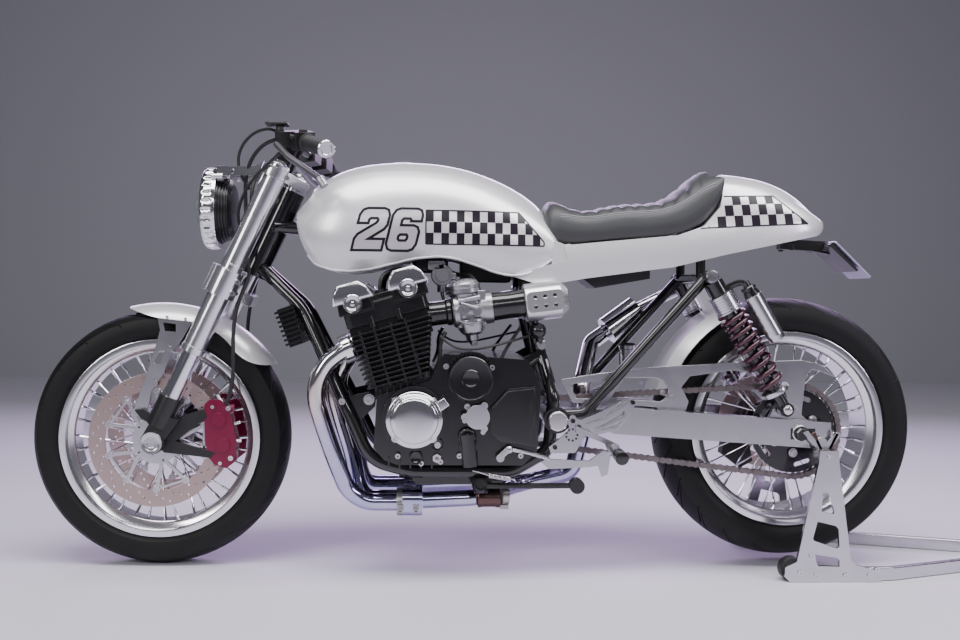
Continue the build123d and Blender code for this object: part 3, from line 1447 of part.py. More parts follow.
# Rear sets: drilled hanger plates, pegs, pedals
hanger_offset = 170.0
with BuildPart() as rear_sets:
    for sign in (-1, 1):
        start = hanger_offset if sign < 0 else -hanger_offset - 8
        with BuildSketch(side.offset(start)):
            with BuildLine():
                Polyline((954, 370), (941, 364), (948, 341), (916, 314), (900, 302), (905, 288),
                         (960, 289), (971, 307), (989, 337), (1023, 353), (1085, 369), (1096, 401),
                         (1089, 412), (1073, 412), (1016, 382), (972, 364), (954, 370))
            make_face()
        extrude(amount=8)
        rod(at(1048, sign * hanger_offset, 300), at(1048, sign * 285, 292), 12)
        start = hanger_offset + 8 if sign < 0 else -hanger_offset - 18
        with BuildSketch(side.offset(start)):
            with BuildLine():
                Polyline((960, 352), (1040, 318), (1060, 308), (1062, 288), (1036, 292),
                         (1026, 312), (960, 338), (960, 352))
            make_face()
            with BuildLine():
                Polyline((880, 270), (896, 276), (991, 272), (1024, 296), (1040, 292), (1034, 243),
                         (1020, 236), (1012, 262), (990, 258), (900, 254), (880, 270))
            make_face()
        extrude(amount=10)
        rod(at(914, sign * (cradle_offset + 5), 306), at(914, sign * (hanger_offset + 1), 300), 8)
        rod(at(955, sign * (boss_outer - 24), 366), at(955, sign * (hanger_offset + 1), 366), 8)
    for loop in loops.values():
        add(loop.part, mode=Mode.SUBTRACT)
    add(subframe.part, mode=Mode.SUBTRACT)
    add(swingarm.part, mode=Mode.SUBTRACT)
    add(rear_axle_shaft.part, mode=Mode.SUBTRACT)
rear_sets.part.label = "rear_sets"
export_step(rear_sets.part, "parts/rear_sets.step")

# Side stand, folded back along the left cradle, on a pin that leans so the leg swings down and outwards
stand_lean = 27.6
stand_pivot = (748, -156, 208)
stand_plane = Plane(origin=at(*stand_pivot), x_dir=(1, 0, 0),
                    z_dir=(0, -cos(radians(stand_lean)), sin(radians(stand_lean))))
stand_hub = 14.0
stand_pin_radius = 6.0
stand_gap = 5.5
with BuildPart() as side_stand_bracket:
    with BuildSketch(stand_plane.offset(-stand_gap - 8)):
        with BuildLine():
            Polyline((-30, 36), (34, 36), (16, -12), (-14, -12), (-30, 36))
        make_face()
    extrude(amount=8)
    with BuildSketch(stand_plane.offset(-stand_gap)):
        Circle(stand_pin_radius)
    extrude(amount=stand_hub + 2 * stand_gap)
    with BuildSketch(stand_plane.offset(stand_hub + stand_gap)):
        Circle(11)
    extrude(amount=4)
    add(loops["frame_left"].part, mode=Mode.SUBTRACT)
side_stand_bracket.part.label = "side_stand_bracket"
export_step(side_stand_bracket.part, "parts/side_stand_bracket.step")

with BuildPart() as side_stand:
    with BuildSketch(stand_plane):
        Circle(15)
    extrude(amount=stand_hub)
    middle = stand_plane.from_local_coords(Vector(9, 0, stand_hub / 2))
    tube([middle, middle + Vector(140, 0, 0), middle + Vector(213, -4, 2)], 6.5, 60)
    rod(middle + Vector(209, 8, 2), middle + Vector(209, -20, 2), 17)
    with BuildSketch(stand_plane):
        Circle(stand_pin_radius + running_gap)
    extrude(amount=stand_hub, mode=Mode.SUBTRACT)
side_stand.part.label = "side_stand"
export_step(side_stand.part, "parts/side_stand.step")

# Paddock stand, placed by its distance behind the rear axle: uprights, arms and handle, rollers, hooks
head_z = rear_axle_z - 34       # top of each upright
upright_outline = [
    (30, head_z), (74, head_z), (75, head_z - 27), (106, 52), (118, 40), (166, 27), (178, 20),
    (179, 1), (-34, 1), (-46, 12), (-46, 34), (-19, 47), (28, head_z - 27),
]
upright_windows = [
    [(38, 204), (48, 205), (53, 200), (66, 160), (63, 156), (36, 162)],
    [(27, 139), (70, 129), (76, 122), (79, 82), (74, 77), (20, 95), (17, 100)],
    [(22, 64), (74, 56), (80, 50), (80, 36), (32, 37), (27, 42)],
]
with BuildPart() as stand_uprights:
    for sign in (-1, 1):
        start = stand_half_width - upright_thick if sign < 0 else -stand_half_width
        with BuildSketch(rear_side.offset(start)):
            with BuildLine():
                Polyline(*upright_outline, close=True)
            make_face()
            for window in upright_windows:
                with BuildLine():
                    Polyline(*window, close=True)
                make_face(mode=Mode.SUBTRACT)
        extrude(amount=upright_thick)
        start = stand_half_width - 41 if sign < 0 else -stand_half_width + upright_thick
        with BuildSketch(rear_side.offset(start)):
            with Locations((52, head_z - 14)):
                Rectangle(46, 28)
        extrude(amount=31)
        start = stand_half_width - 39 if sign < 0 else -stand_half_width + 29
        with BuildSketch(rear_side.offset(start)):
            with BuildLine():
                Polyline((34, head_z - 1), (64, head_z - 1), (92, head_z + 36), (80, head_z + 40),
                         (50, head_z + 2), (46, head_z + 2), (12, head_z + 42), (0, head_z + 38), close=True)
            make_face()
        extrude(amount=10)
    add(swingarm.part, mode=Mode.SUBTRACT)
stand_uprights.part.label = "stand_uprights"
export_step(stand_uprights.part, "parts/stand_uprights.step")

arm_outer = stand_half_width - upright_thick
arm_wide = 16.0
arm_tall = 30.0
handle_half = 72.0
handle_run = 110.0              # straight end of the handle
arm_front = 74.0
arm_bend = 208.0                # where the arms turn in towards the handle
with BuildPart() as stand_arms:
    with BuildSketch(rear_plan.offset(1)):
        with BuildLine():
            reach, half = stand_reach, handle_half
            FilletPolyline((arm_front, arm_outer), (arm_bend, arm_outer), (reach - handle_run, half),
                           (reach, half), (reach, -half), (reach - handle_run, -half),
                           (arm_bend, -arm_outer), (arm_front, -arm_outer), radius=24)
            inside = arm_outer - arm_wide
            reach, half = stand_reach - arm_wide, handle_half - arm_wide
            FilletPolyline((arm_front, -inside), (arm_bend - 4, -inside), (reach - handle_run + 14, -half),
                           (reach, -half), (reach, half), (reach - handle_run + 14, half),
                           (arm_bend - 4, inside), (arm_front, inside), radius=12)
            Line((arm_front, -arm_outer), (arm_front, -inside))
            Line((arm_front, inside), (arm_front, arm_outer))
        make_face()
    extrude(amount=arm_tall)
stand_arms.part.label = "stand_arms"
export_step(stand_arms.part, "parts/stand_arms.step")

roller_radius = 27.0
with BuildPart() as stand_rollers:
    for sign in (-1, 1):
        hub = wheelbase - 26
        rod(at(hub, sign * 168, roller_radius), at(hub, sign * arm_outer, roller_radius), roller_radius)
        rod(at(hub, sign * 140, roller_radius), at(hub, sign * 168, roller_radius), 8)
stand_rollers.part.label = "stand_rollers"
export_step(stand_rollers.part, "parts/stand_rollers.step")

# Brake hoses, control cables, rear caliper and its reservoir
hose_radius = 4.5
cable_radius = 3.5
# Columns: station, distance from the middle plane, height
caliper_hose = (
    (206, 60, 683), (197, 76, 652), (186, 89, 618), (179, 96, 578), (177, 98, 536),
    (178, 99, 494), (178, 98, 452), (172, 95, 415), (160, 91, 384),
)
bar_hose = (
    (206, 57, 683), (202, 50, 730), (198, 44, 780), (195, 41, 832), (193, 44, 884),
    (200, 62, 930), (222, 94, 962), (250, 124, 982), (282, 156, 988),
)
throttle_cable = (
    (282, -160, 1004), (262, -136, 1014), (236, -108, 1014), (212, -84, 1006), (192, -70, 988),
    (180, -62, 962), (180, -58, 934), (190, -56, 908), (206, -54, 884),
)
clutch_cable = (
    (296, -186, 958), (274, -160, 942), (250, -134, 926), (226, -110, 908), (206, -90, 886),
    (190, -74, 860), (180, -62, 832), (180, -52, 804), (192, -42, 778), (210, -34, 758),
)
with BuildPart() as brake_hoses:
    for sign in (-1, 1):
        for hose in (caliper_hose, bar_hose):
            smooth_tube([at(s, sign * y, z) for s, y, z in hose], hose_radius)
    add(front_calipers.part, mode=Mode.SUBTRACT)
    add(triple_clamps.part, mode=Mode.SUBTRACT)
    add(fork_outer_tubes.part, mode=Mode.SUBTRACT)
    add(bar_controls.part, mode=Mode.SUBTRACT)
    add(headlight_bracket.part, mode=Mode.SUBTRACT)
brake_hoses.part.label = "brake_hoses"
export_step(brake_hoses.part, "parts/brake_hoses.step")

with BuildPart() as control_cables:
    for cable in (throttle_cable, clutch_cable):
        smooth_tube([at(*place) for place in cable], cable_radius)
    add(bar_controls.part, mode=Mode.SUBTRACT)
    add(brake_hoses.part, mode=Mode.SUBTRACT)
    add(handlebar.part, mode=Mode.SUBTRACT)
    add(triple_clamps.part, mode=Mode.SUBTRACT)
    add(fork_outer_tubes.part, mode=Mode.SUBTRACT)
    add(headlight_bracket.part, mode=Mode.SUBTRACT)
    add(headlight_shell.part, mode=Mode.SUBTRACT)
control_cables.part.label = "control_cables"
export_step(control_cables.part, "parts/control_cables.step")

with BuildPart() as rear_brake:
    with BuildSketch(rear_side.offset(-rear_hub_end - 20)):
        with BuildLine():
            Polyline((-106, rear_axle_z - 34), (-114, rear_axle_z - 84), (-66, rear_axle_z - 120),
                     (-34, rear_axle_z - 102), (-46, rear_axle_z - 44), close=True)
        make_face()
    extrude(amount=36)
    with BuildSketch(side.offset(-rear_hub_end - disc_thick - clear)):
        with Locations((wheelbase, rear_axle_z)):
            Circle(rear_disc_radius + clear)
    extrude(amount=disc_thick + 2 * clear, mode=Mode.SUBTRACT)
    with BuildSketch(rear_side.offset(-beam_offset)):
        with BuildLine():
            Polyline((-96, rear_axle_z - 14), (-94, rear_axle_z - 84), (-46, rear_axle_z - 104),
                     (-46, rear_axle_z - 14), close=True)
        make_face()
    extrude(amount=6)
    rod(at(1129, 95, 473), at(1129, 95, 512), 20)
    rod(at(1129, 95, 512), at(1129, 95, 520), 22)
    rod(at(1126, 95, 500), at(1112, 134, 516), 6)
    add(subframe.part, mode=Mode.SUBTRACT)
    add(swingarm.part, mode=Mode.SUBTRACT)
rear_brake.part.label = "rear_brake"
export_step(rear_brake.part, "parts/rear_brake.step")
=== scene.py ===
import json
import math

import bmesh
import bpy
from mathutils import Matrix, Vector
from mathutils.bvhtree import BVHTree


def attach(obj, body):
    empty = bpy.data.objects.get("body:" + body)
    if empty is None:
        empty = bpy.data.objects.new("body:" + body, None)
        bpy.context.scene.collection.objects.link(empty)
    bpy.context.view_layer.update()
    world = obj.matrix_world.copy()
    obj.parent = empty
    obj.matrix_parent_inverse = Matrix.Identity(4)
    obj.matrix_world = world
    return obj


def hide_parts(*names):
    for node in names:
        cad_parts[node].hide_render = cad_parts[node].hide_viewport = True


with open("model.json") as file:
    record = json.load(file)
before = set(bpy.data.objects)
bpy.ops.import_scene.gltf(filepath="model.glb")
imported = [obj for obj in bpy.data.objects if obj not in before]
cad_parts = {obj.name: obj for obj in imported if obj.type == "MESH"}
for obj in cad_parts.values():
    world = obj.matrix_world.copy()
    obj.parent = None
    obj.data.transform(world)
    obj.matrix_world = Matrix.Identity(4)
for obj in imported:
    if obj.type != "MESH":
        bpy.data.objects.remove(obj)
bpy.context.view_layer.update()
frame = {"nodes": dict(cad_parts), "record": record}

nodes = frame["nodes"]
frontAxle = Vector((-0.925, 0, 0.300))
rearAxle = Vector((0.561, 0, 0.334))
steerAxis = Vector((0.414693, 0, 0.909961))


def at(s, y, z):
    # a point given in millimetres behind the front axle, across and above the floor
    return Vector(((s - 925) / 1000, y / 1000, z / 1000))


# camera first, at the photograph's place and angle
view = {"place": at(616.7, -2531.2, 641.8), "heading": 3.0, "dip": 1.34, "roll": 0.7, "lens": 39.3}


def makeCamera():
    heading, dip, roll = (math.radians(view[key]) for key in ("heading", "dip", "roll"))
    forward = Vector((math.sin(heading) * math.cos(dip), math.cos(heading) * math.cos(dip), -math.sin(dip)))
    right = Vector((math.cos(heading), -math.sin(heading), 0))
    up = right.cross(forward)
    turn = Matrix(((math.cos(roll), 0, -math.sin(roll)), (0, 1, 0), (math.sin(roll), 0, math.cos(roll))))
    axes = Matrix((turn @ right, turn @ up, turn @ -forward)).transposed()
    data = bpy.data.cameras.new("camera")
    data.sensor_width = 36
    data.lens = view["lens"]
    camera = bpy.data.objects.new("camera", data)
    camera.matrix_world = Matrix.Translation(view["place"]) @ axes.to_4x4()
    bpy.context.scene.collection.objects.link(camera)
    bpy.context.scene.camera = camera


makeCamera()
print("camera placed")

# floor, backdrop and soft studio light
studio = {"floor": (0.70, 0.68, 0.76), "wall": (0.36, 0.36, 0.40), "sky": (0.80, 0.80, 0.92),
          "skyStrength": 0.13}


def addLight(name, place, target, size, power, colour=(1, 1, 1)):
    data = bpy.data.lights.new(name, "AREA")
    data.shape = "RECTANGLE"
    data.size, data.size_y = size
    data.energy = power
    data.color = colour
    lamp = bpy.data.objects.new(name, data)
    lamp.location = place
    lamp.rotation_euler = (Vector(target) - Vector(place)).to_track_quat("-Z", "Y").to_euler()
    bpy.context.scene.collection.objects.link(lamp)


def makeStudio():
    world = bpy.data.worlds.new("studio")
    bpy.context.scene.world = world
    world.use_nodes = True
    sky = world.node_tree.nodes["Background"]
    sky.inputs["Color"].default_value = (*studio["sky"], 1)
    sky.inputs["Strength"].default_value = studio["skyStrength"]
    for name, colour, height in (("floor", studio["floor"], 0), ("backdrop", studio["wall"], 12)):
        material = bpy.data.materials.new(name)
        material.use_nodes = True
        shader = material.node_tree.nodes["Principled BSDF"]
        shader.inputs["Base Color"].default_value = (*colour, 1)
        shader.inputs["Roughness"].default_value = 0.6
        form = bmesh.new()
        bmesh.ops.create_grid(form, x_segments=1, y_segments=1, size=20)
        if height:
            bmesh.ops.rotate(form, verts=form.verts, cent=(0, 0, 0),
                             matrix=Matrix.Rotation(math.pi / 2, 3, "X"))
            bmesh.ops.translate(form, verts=form.verts, vec=(0, 5.5, 0))
        mesh = bpy.data.meshes.new(name)
        form.to_mesh(mesh)
        form.free()
        mesh.materials.append(material)
        piece = bpy.data.objects.new(name, mesh)
        bpy.context.scene.collection.objects.link(piece)
    addLight("overhead", (0.1, -0.8, 2.8), (0.0, 0, 0.5), (4.4, 1.0), 135, (1, 0.99, 1))
    addLight("frontSoft", (-3.0, -2.8, 2.0), (-0.5, 0, 0.5), (0.7, 1.6), 42)
    addLight("rearSoft", (3.1, -2.4, 1.7), (0.6, 0, 0.5), (0.6, 1.4), 34, (0.93, 0.84, 1))
    addLight("sideStrip", (0.0, -3.7, 2.2), (0.0, 0, 0.3), (3.6, 0.25), 30)
    addLight("farStrip", (0.2, 2.6, 1.9), (0, 0, 0.7), (5.0, 0.5), 85, (0.80, 0.58, 1))


makeStudio()
print("studio lit")


# shader groups shared by the finishes
def newGroup(name, ins, outs):
    group = bpy.data.node_groups.new(name, "ShaderNodeTree")
    kinds = {"float": "NodeSocketFloat", "colour": "NodeSocketColor", "vector": "NodeSocketVector"}
    for label, kind, value in ins:
        socket = group.interface.new_socket(name=label, in_out="INPUT", socket_type=kinds[kind])
        socket.default_value = value
    for label, kind in outs:
        group.interface.new_socket(name=label, in_out="OUTPUT", socket_type=kinds[kind])
    return group, group.nodes.new("NodeGroupInput"), group.nodes.new("NodeGroupOutput")


def mathNode(tree, operation, first, second, clamp=False):
    node = tree.nodes.new("ShaderNodeMath")
    node.operation = operation
    node.use_clamp = clamp
    for index, value in enumerate((first, second)):
        if isinstance(value, (int, float)):
            node.inputs[index].default_value = value
        else:
            tree.links.new(value, node.inputs[index])
    return node.outputs[0]


def mixColour(tree, factor, first, second):
    node = tree.nodes.new("ShaderNodeMix")
    node.data_type = "RGBA"
    for socket, value in zip((node.inputs[0], node.inputs[6], node.inputs[7]), (factor, first, second)):
        if isinstance(value, (int, float)):
            socket.default_value = value
        elif isinstance(value, tuple):
            socket.default_value = (*value[:3], 1)
        else:
            tree.links.new(value, socket)
    return node.outputs[2]


def noiseNode(tree, vector, scale, detail):
    node = tree.nodes.new("ShaderNodeTexNoise")
    node.inputs["Detail"].default_value = detail
    if isinstance(scale, (int, float)):
        node.inputs["Scale"].default_value = scale
    else:
        tree.links.new(scale, node.inputs["Scale"])
    tree.links.new(vector, node.inputs["Vector"])
    return node.outputs["Fac"]


def makeGrainGroup():
    # fine grain: small change of tone, of roughness and of height
    group, into, out = newGroup(
        "surfaceGrain",
        (("Vector", "vector", (0, 0, 0)), ("Scale", "float", 900), ("Base", "colour", (0.5, 0.5, 0.5, 1)),
         ("Tint", "colour", (0.4, 0.4, 0.4, 1)), ("Tint Amount", "float", 0.5), ("Roughness", "float", 0.4),
         ("Spread", "float", 0.1)),
        (("Color", "colour"), ("Roughness", "float"), ("Height", "float")))
    fine = noiseNode(group, into.outputs["Vector"], into.outputs["Scale"], 2)
    broad = noiseNode(group, into.outputs["Vector"],
                      mathNode(group, "MULTIPLY", into.outputs["Scale"], 0.014), 4)
    amount = mathNode(group, "MULTIPLY", broad, into.outputs["Tint Amount"], True)
    group.links.new(mixColour(group, amount, into.outputs["Base"], into.outputs["Tint"]),
                    out.inputs["Color"])
    swing = mathNode(group, "MULTIPLY", mathNode(group, "SUBTRACT", broad, 0.5), into.outputs["Spread"])
    group.links.new(mathNode(group, "ADD", into.outputs["Roughness"], swing, True), out.inputs["Roughness"])
    group.links.new(fine, out.inputs["Height"])
    return group


def makeDustGroup():
    # dust and grease that settle low on the machine and in patches
    group, into, out = newGroup("roadDust", (("Vector", "vector", (0, 0, 0)),
                                             ("Color", "colour", (0.5, 0.5, 0.5, 1)),
                                             ("Dust", "colour", (0.2, 0.18, 0.17, 1)),
                                             ("Amount", "float", 0.2), ("Top", "float", 0.5)),
                                             (("Color", "colour"),))
    split = group.nodes.new("ShaderNodeSeparateXYZ")
    group.links.new(into.outputs["Vector"], split.inputs[0])
    low = mathNode(group, "SUBTRACT", 1.0,
                   mathNode(group, "DIVIDE", split.outputs["Z"], into.outputs["Top"]), True)
    patch = noiseNode(group, into.outputs["Vector"], 26, 6)
    mask = mathNode(group, "MULTIPLY", mathNode(group, "MULTIPLY", low, patch),
                    into.outputs["Amount"], True)
    group.links.new(mixColour(group, mask, into.outputs["Color"], into.outputs["Dust"]),
                    out.inputs["Color"])
    return group


groups = {"grain": makeGrainGroup(), "dust": makeDustGroup()}


def placeGroup(tree, key, **values):
    node = tree.nodes.new("ShaderNodeGroup")
    node.node_tree = groups[key]
    for label, value in values.items():
        socket = node.inputs[label.replace("_", " ")]
        if isinstance(value, bpy.types.NodeSocket):
            tree.links.new(value, socket)
        elif isinstance(value, tuple):
            socket.default_value = (*value, 1)
        else:
            socket.default_value = value
    return node


def bumpInto(tree, shader, height, strength, distance):
    node = tree.nodes.new("ShaderNodeBump")
    node.inputs["Strength"].default_value = strength
    node.inputs["Distance"].default_value = distance
    tree.links.new(height, node.inputs["Height"])
    if shader.inputs["Normal"].is_linked:
        tree.links.new(shader.inputs["Normal"].links[0].from_socket, node.inputs["Normal"])
    tree.links.new(node.outputs[0], shader.inputs["Normal"])


def makeFinish(name, base, tint, tintAmount, rough, spread, metal=0.0, grain=900, depth=0.05, dust=0.0,
               coat=0.0, sheen=0.0, shine=0.5):
    material = bpy.data.materials.new(name)
    material.use_nodes = True
    tree = material.node_tree
    shader = tree.nodes["Principled BSDF"]
    place = tree.nodes.new("ShaderNodeTexCoord").outputs["Object"]
    grainNode = placeGroup(tree, "grain", Vector=place, Scale=grain, Base=base, Tint=tint,
                           Tint_Amount=tintAmount, Roughness=rough, Spread=spread)
    colour = grainNode.outputs["Color"]
    if dust:
        dustNode = placeGroup(tree, "dust", Vector=place, Color=colour, Amount=dust)
        colour = dustNode.outputs["Color"]
    tree.links.new(colour, shader.inputs["Base Color"])
    tree.links.new(grainNode.outputs["Roughness"], shader.inputs["Roughness"])
    shader.inputs["Metallic"].default_value = metal
    shader.inputs["Specular IOR Level"].default_value = shine
    shader.inputs["Coat Weight"].default_value = coat
    shader.inputs["Coat Roughness"].default_value = 0.06
    shader.inputs["Sheen Weight"].default_value = sheen
    if depth:
        bumpInto(tree, shader, grainNode.outputs["Height"], depth, 0.0006)
    return material


# values of the plain finishes: colour, tint, share of tint, roughness, its spread, and what else differs
finishValues = {
    "satinSilver": ((0.80, 0.79, 0.81), (0.70, 0.68, 0.72), 0.4, 0.30, 0.08,
                    {"metal": 0.40, "grain": 2600, "depth": 0.02, "coat": 0.6}),
    "frameBlack": ((0.008, 0.008, 0.009), (0.018, 0.017, 0.019), 0.4, 0.16, 0.08,
                   {"coat": 0.6, "grain": 700, "depth": 0.01, "dust": 0.08}),
    "castAlloy": ((0.44, 0.43, 0.46), (0.34, 0.33, 0.35), 0.5, 0.30, 0.2,
                  {"metal": 0.95, "grain": 1300, "depth": 0.08, "dust": 0.1}),
    "brushedAlloy": ((0.64, 0.63, 0.66), (0.50, 0.49, 0.53), 0.5, 0.24, 0.14,
                     {"metal": 1.0, "grain": 1500, "depth": 0.03}),
    "polishedAlloy": ((0.84, 0.83, 0.85), (0.70, 0.69, 0.73), 0.5, 0.12, 0.1,
                      {"metal": 1.0, "grain": 1200, "depth": 0.01}),
    "gloss": ((0.006, 0.006, 0.007), (0.014, 0.013, 0.016), 0.5, 0.20, 0.10,
              {"grain": 1300, "depth": 0.04, "coat": 0.5, "dust": 0.06}),
    "finBlack": ((0.010, 0.010, 0.011), (0.026, 0.025, 0.028), 0.5, 0.26, 0.14,
                 {"metal": 0.3, "grain": 1400, "depth": 0.06, "dust": 0.06}),
    "coverAlloy": ((0.82, 0.81, 0.84), (0.64, 0.62, 0.65), 0.5, 0.14, 0.14,
                   {"metal": 1.0, "grain": 1100, "depth": 0.015, "dust": 0.06}),
    "podAlloy": ((0.72, 0.71, 0.73), (0.60, 0.59, 0.62), 0.5, 0.30, 0.1,
                 {"metal": 0.95, "grain": 1700, "depth": 0.03}),
    "brightBolt": ((0.78, 0.74, 0.77), (0.60, 0.56, 0.60), 0.5, 0.24, 0.12,
                   {"metal": 1.0, "grain": 1500, "depth": 0.03}),
    "bronze": ((0.13, 0.075, 0.070), (0.08, 0.045, 0.045), 0.6, 0.28, 0.15,
               {"metal": 0.9, "grain": 1200, "depth": 0.05, "dust": 0.1}),
    "forkSilver": ((0.76, 0.75, 0.79), (0.64, 0.63, 0.68), 0.5, 0.20, 0.1,
                   {"metal": 0.95, "grain": 2000, "depth": 0.015}),
    "satinBlack": ((0.009, 0.009, 0.010), (0.020, 0.019, 0.022), 0.5, 0.34, 0.12,
                   {"grain": 1500, "depth": 0.05, "dust": 0.06}),
    "rimAlloy": ((0.86, 0.85, 0.88), (0.72, 0.71, 0.76), 0.5, 0.16, 0.1,
                 {"metal": 0.95, "grain": 900, "depth": 0.01, "dust": 0.06}),
    "discSteel": ((0.52, 0.40, 0.38), (0.44, 0.34, 0.33), 0.5, 0.30, 0.1,
                  {"metal": 0.95, "grain": 2200, "depth": 0.04}),
    "chrome": ((0.80, 0.80, 0.83), (0.66, 0.66, 0.72), 0.5, 0.08, 0.06,
               {"metal": 1.0, "grain": 800, "depth": 0.01}),
    "steel": ((0.50, 0.49, 0.48), (0.34, 0.33, 0.32), 0.6, 0.32, 0.2,
              {"metal": 0.95, "grain": 1200, "depth": 0.06, "dust": 0.3}),
    "tyreRubber": ((0.0035, 0.0035, 0.004), (0.009, 0.009, 0.0095), 0.5, 0.52, 0.2,
                   {"grain": 1500, "depth": 0.10, "dust": 0.04, "shine": 0.25}),
    "softRubber": ((0.009, 0.009, 0.010), (0.020, 0.020, 0.022), 0.5, 0.5, 0.2,
                   {"grain": 1800, "depth": 0.08}),
    "leather": ((0.032, 0.034, 0.036), (0.052, 0.053, 0.057), 0.6, 0.44, 0.16,
                {"grain": 760, "depth": 0.30, "sheen": 0.05}),
    "redAnodised": ((0.20, 0.003, 0.040), (0.14, 0.003, 0.034), 0.5, 0.26, 0.1,
                    {"metal": 0.4, "grain": 900, "depth": 0.02, "coat": 0.3}),
    "blackPlastic": ((0.018, 0.018, 0.02), (0.035, 0.035, 0.04), 0.5, 0.45, 0.15,
                     {"grain": 1400, "depth": 0.1}),
    "plateMetal": ((0.40, 0.36, 0.52), (0.32, 0.30, 0.46), 0.5, 0.3, 0.1,
                   {"metal": 0.3, "grain": 800, "depth": 0.02}),
    "springPaint": ((0.045, 0.002, 0.014), (0.030, 0.002, 0.012), 0.5, 0.25, 0.1,
                    {"coat": 0.5, "grain": 900, "depth": 0.02}),
    "decalBlack": ((0.010, 0.006, 0.013), (0.016, 0.009, 0.019), 0.5, 0.30, 0.08,
                   {"grain": 1200, "depth": 0.01, "shine": 0.3}),
    "decalSilver": ((0.62, 0.60, 0.62), (0.54, 0.52, 0.55), 0.5, 0.36, 0.08,
                    {"metal": 0.5, "grain": 2400, "depth": 0.02, "coat": 0.4}),
    "thread": ((0.30, 0.29, 0.31), (0.20, 0.19, 0.21), 0.6, 0.6, 0.1,
               {"grain": 4200, "depth": 0.4}),
    "chainBronze": ((0.27, 0.235, 0.235), (0.14, 0.12, 0.12), 0.6, 0.34, 0.16,
                    {"metal": 0.95, "grain": 1500, "depth": 0.05, "dust": 0.1}),
}
finishes = {name: makeFinish(name, *values, **more) for name, (*values, more) in finishValues.items()}

# finish of every CAD node that stays
nodeFinish = {
    "satinSilver": ("front_fender", "fuel_tank"),
    "frameBlack": ("frame_spine", "frame_left", "frame_right", "subframe", "handlebar"),
    "softRubber": ("brake_hoses", "control_cables"),
}


def makeLensGlass():
    material = bpy.data.materials.new("lensGlass")
    material.use_nodes = True
    tree = material.node_tree
    shader = tree.nodes["Principled BSDF"]
    shader.inputs["Base Color"].default_value = (0.80, 0.92, 0.86, 1)
    shader.inputs["Roughness"].default_value = 0.04
    shader.inputs["Transmission Weight"].default_value = 0.85
    place = tree.nodes.new("ShaderNodeTexCoord").outputs["Object"]
    wave = tree.nodes.new("ShaderNodeTexWave")
    wave.bands_direction = "Y"
    wave.inputs["Scale"].default_value = 60
    tree.links.new(place, wave.inputs["Vector"])
    bumpInto(tree, shader, wave.outputs["Fac"], 0.3, 0.002)
    return material


finishes["lens"] = makeLensGlass()


def makeHeaderChrome():
    # chrome painted straw and then violet blue lower down the pipes: partly heat tint, partly a painted
    # reflection of the lilac floor and violet light
    material = makeFinish("headerChrome", (0.80, 0.80, 0.82), (0.66, 0.66, 0.70), 0.4, 0.10, 0.08,
                          metal=1.0, grain=900, depth=0.01)
    tree = material.node_tree
    shader = tree.nodes["Principled BSDF"]
    place = tree.nodes.new("ShaderNodeTexCoord").outputs["Object"]
    split = tree.nodes.new("ShaderNodeSeparateXYZ")
    tree.links.new(place, split.inputs[0])
    level = mathNode(tree, "MULTIPLY", mathNode(tree, "SUBTRACT", 0.50, split.outputs["Z"]), 4.0, True)
    patch = noiseNode(tree, place, 14, 4)
    # painted floor reflection mixed with heat tint: stronger the lower the pipe, broken up in patches
    heatTintAndFloorReflection = mathNode(tree, "MULTIPLY", level, mathNode(tree, "ADD", patch, 0.35), True)
    ramp = tree.nodes.new("ShaderNodeValToRGB")
    tree.links.new(heatTintAndFloorReflection, ramp.inputs[0])
    bands = ((0.0, (0.84, 0.84, 0.86)), (0.28, (0.70, 0.64, 0.60)), (0.55, (0.60, 0.56, 0.72)),
             (0.95, (0.45, 0.44, 0.68)))
    while len(ramp.color_ramp.elements) < len(bands):
        ramp.color_ramp.elements.new(0.5)
    for element, (position, colour) in zip(ramp.color_ramp.elements, bands):
        element.position = position
        element.color = (*colour, 1)
    tree.links.new(ramp.outputs[0], shader.inputs["Base Color"])
    return material


finishes["headerChrome"] = makeHeaderChrome()

for finish, names in nodeFinish.items():
    for name in names:
        nodes[name].data.materials.clear()
        nodes[name].data.materials.append(finishes[finish])
print("finishes made")

# small tools that shape and finish the pieces
def settle(name, form, finish, body, stands=(), sharp=32):
    # a finished piece: smooth with its hard edges kept, on its body, in place of the nodes it stands for
    mesh = bpy.data.meshes.new(name)
    form.to_mesh(mesh)
    form.free()
    for face in mesh.polygons:
        face.use_smooth = True
    mesh.set_sharp_from_angle(angle=math.radians(sharp))
    for each in (finish if isinstance(finish, tuple) else (finish,)):
        mesh.materials.append(finishes[each])
    piece = bpy.data.objects.new(name, mesh)
    bpy.context.scene.collection.objects.link(piece)
    even = piece.modifiers.new("evenNormals", "WEIGHTED_NORMAL")
    even.keep_sharp = True
    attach(piece, body)
    if stands:
        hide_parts(*stands)
    return piece


def aim(direction):
    return Vector(direction).to_track_quat("Z", "Y").to_matrix().to_4x4()


def addRod(form, start, end, radius, endRadius=None, segments=20):
    start, end = Vector(start), Vector(end)
    place = Matrix.Translation((start + end) / 2) @ aim(end - start)
    return bmesh.ops.create_cone(form, cap_ends=True, segments=segments, radius1=radius,
                                 radius2=radius if endRadius is None else endRadius,
                                 depth=(end - start).length, matrix=place)["verts"]


def addBlock(form, place, size, turn=None, soft=0.0):
    matrix = Matrix.Translation(place) @ (turn or Matrix.Identity(4)) @ Matrix.Diagonal((*size, 1))
    verts = bmesh.ops.create_cube(form, size=1, matrix=matrix)["verts"]
    if soft:
        edges = list({edge for vert in verts for edge in vert.link_edges})
        bmesh.ops.bevel(form, geom=edges, offset=soft, affect="EDGES", segments=3, profile=0.5, material=-1)


def addBall(form, place, radius):
    bmesh.ops.create_icosphere(form, subdivisions=3, radius=radius, matrix=Matrix.Translation(place))


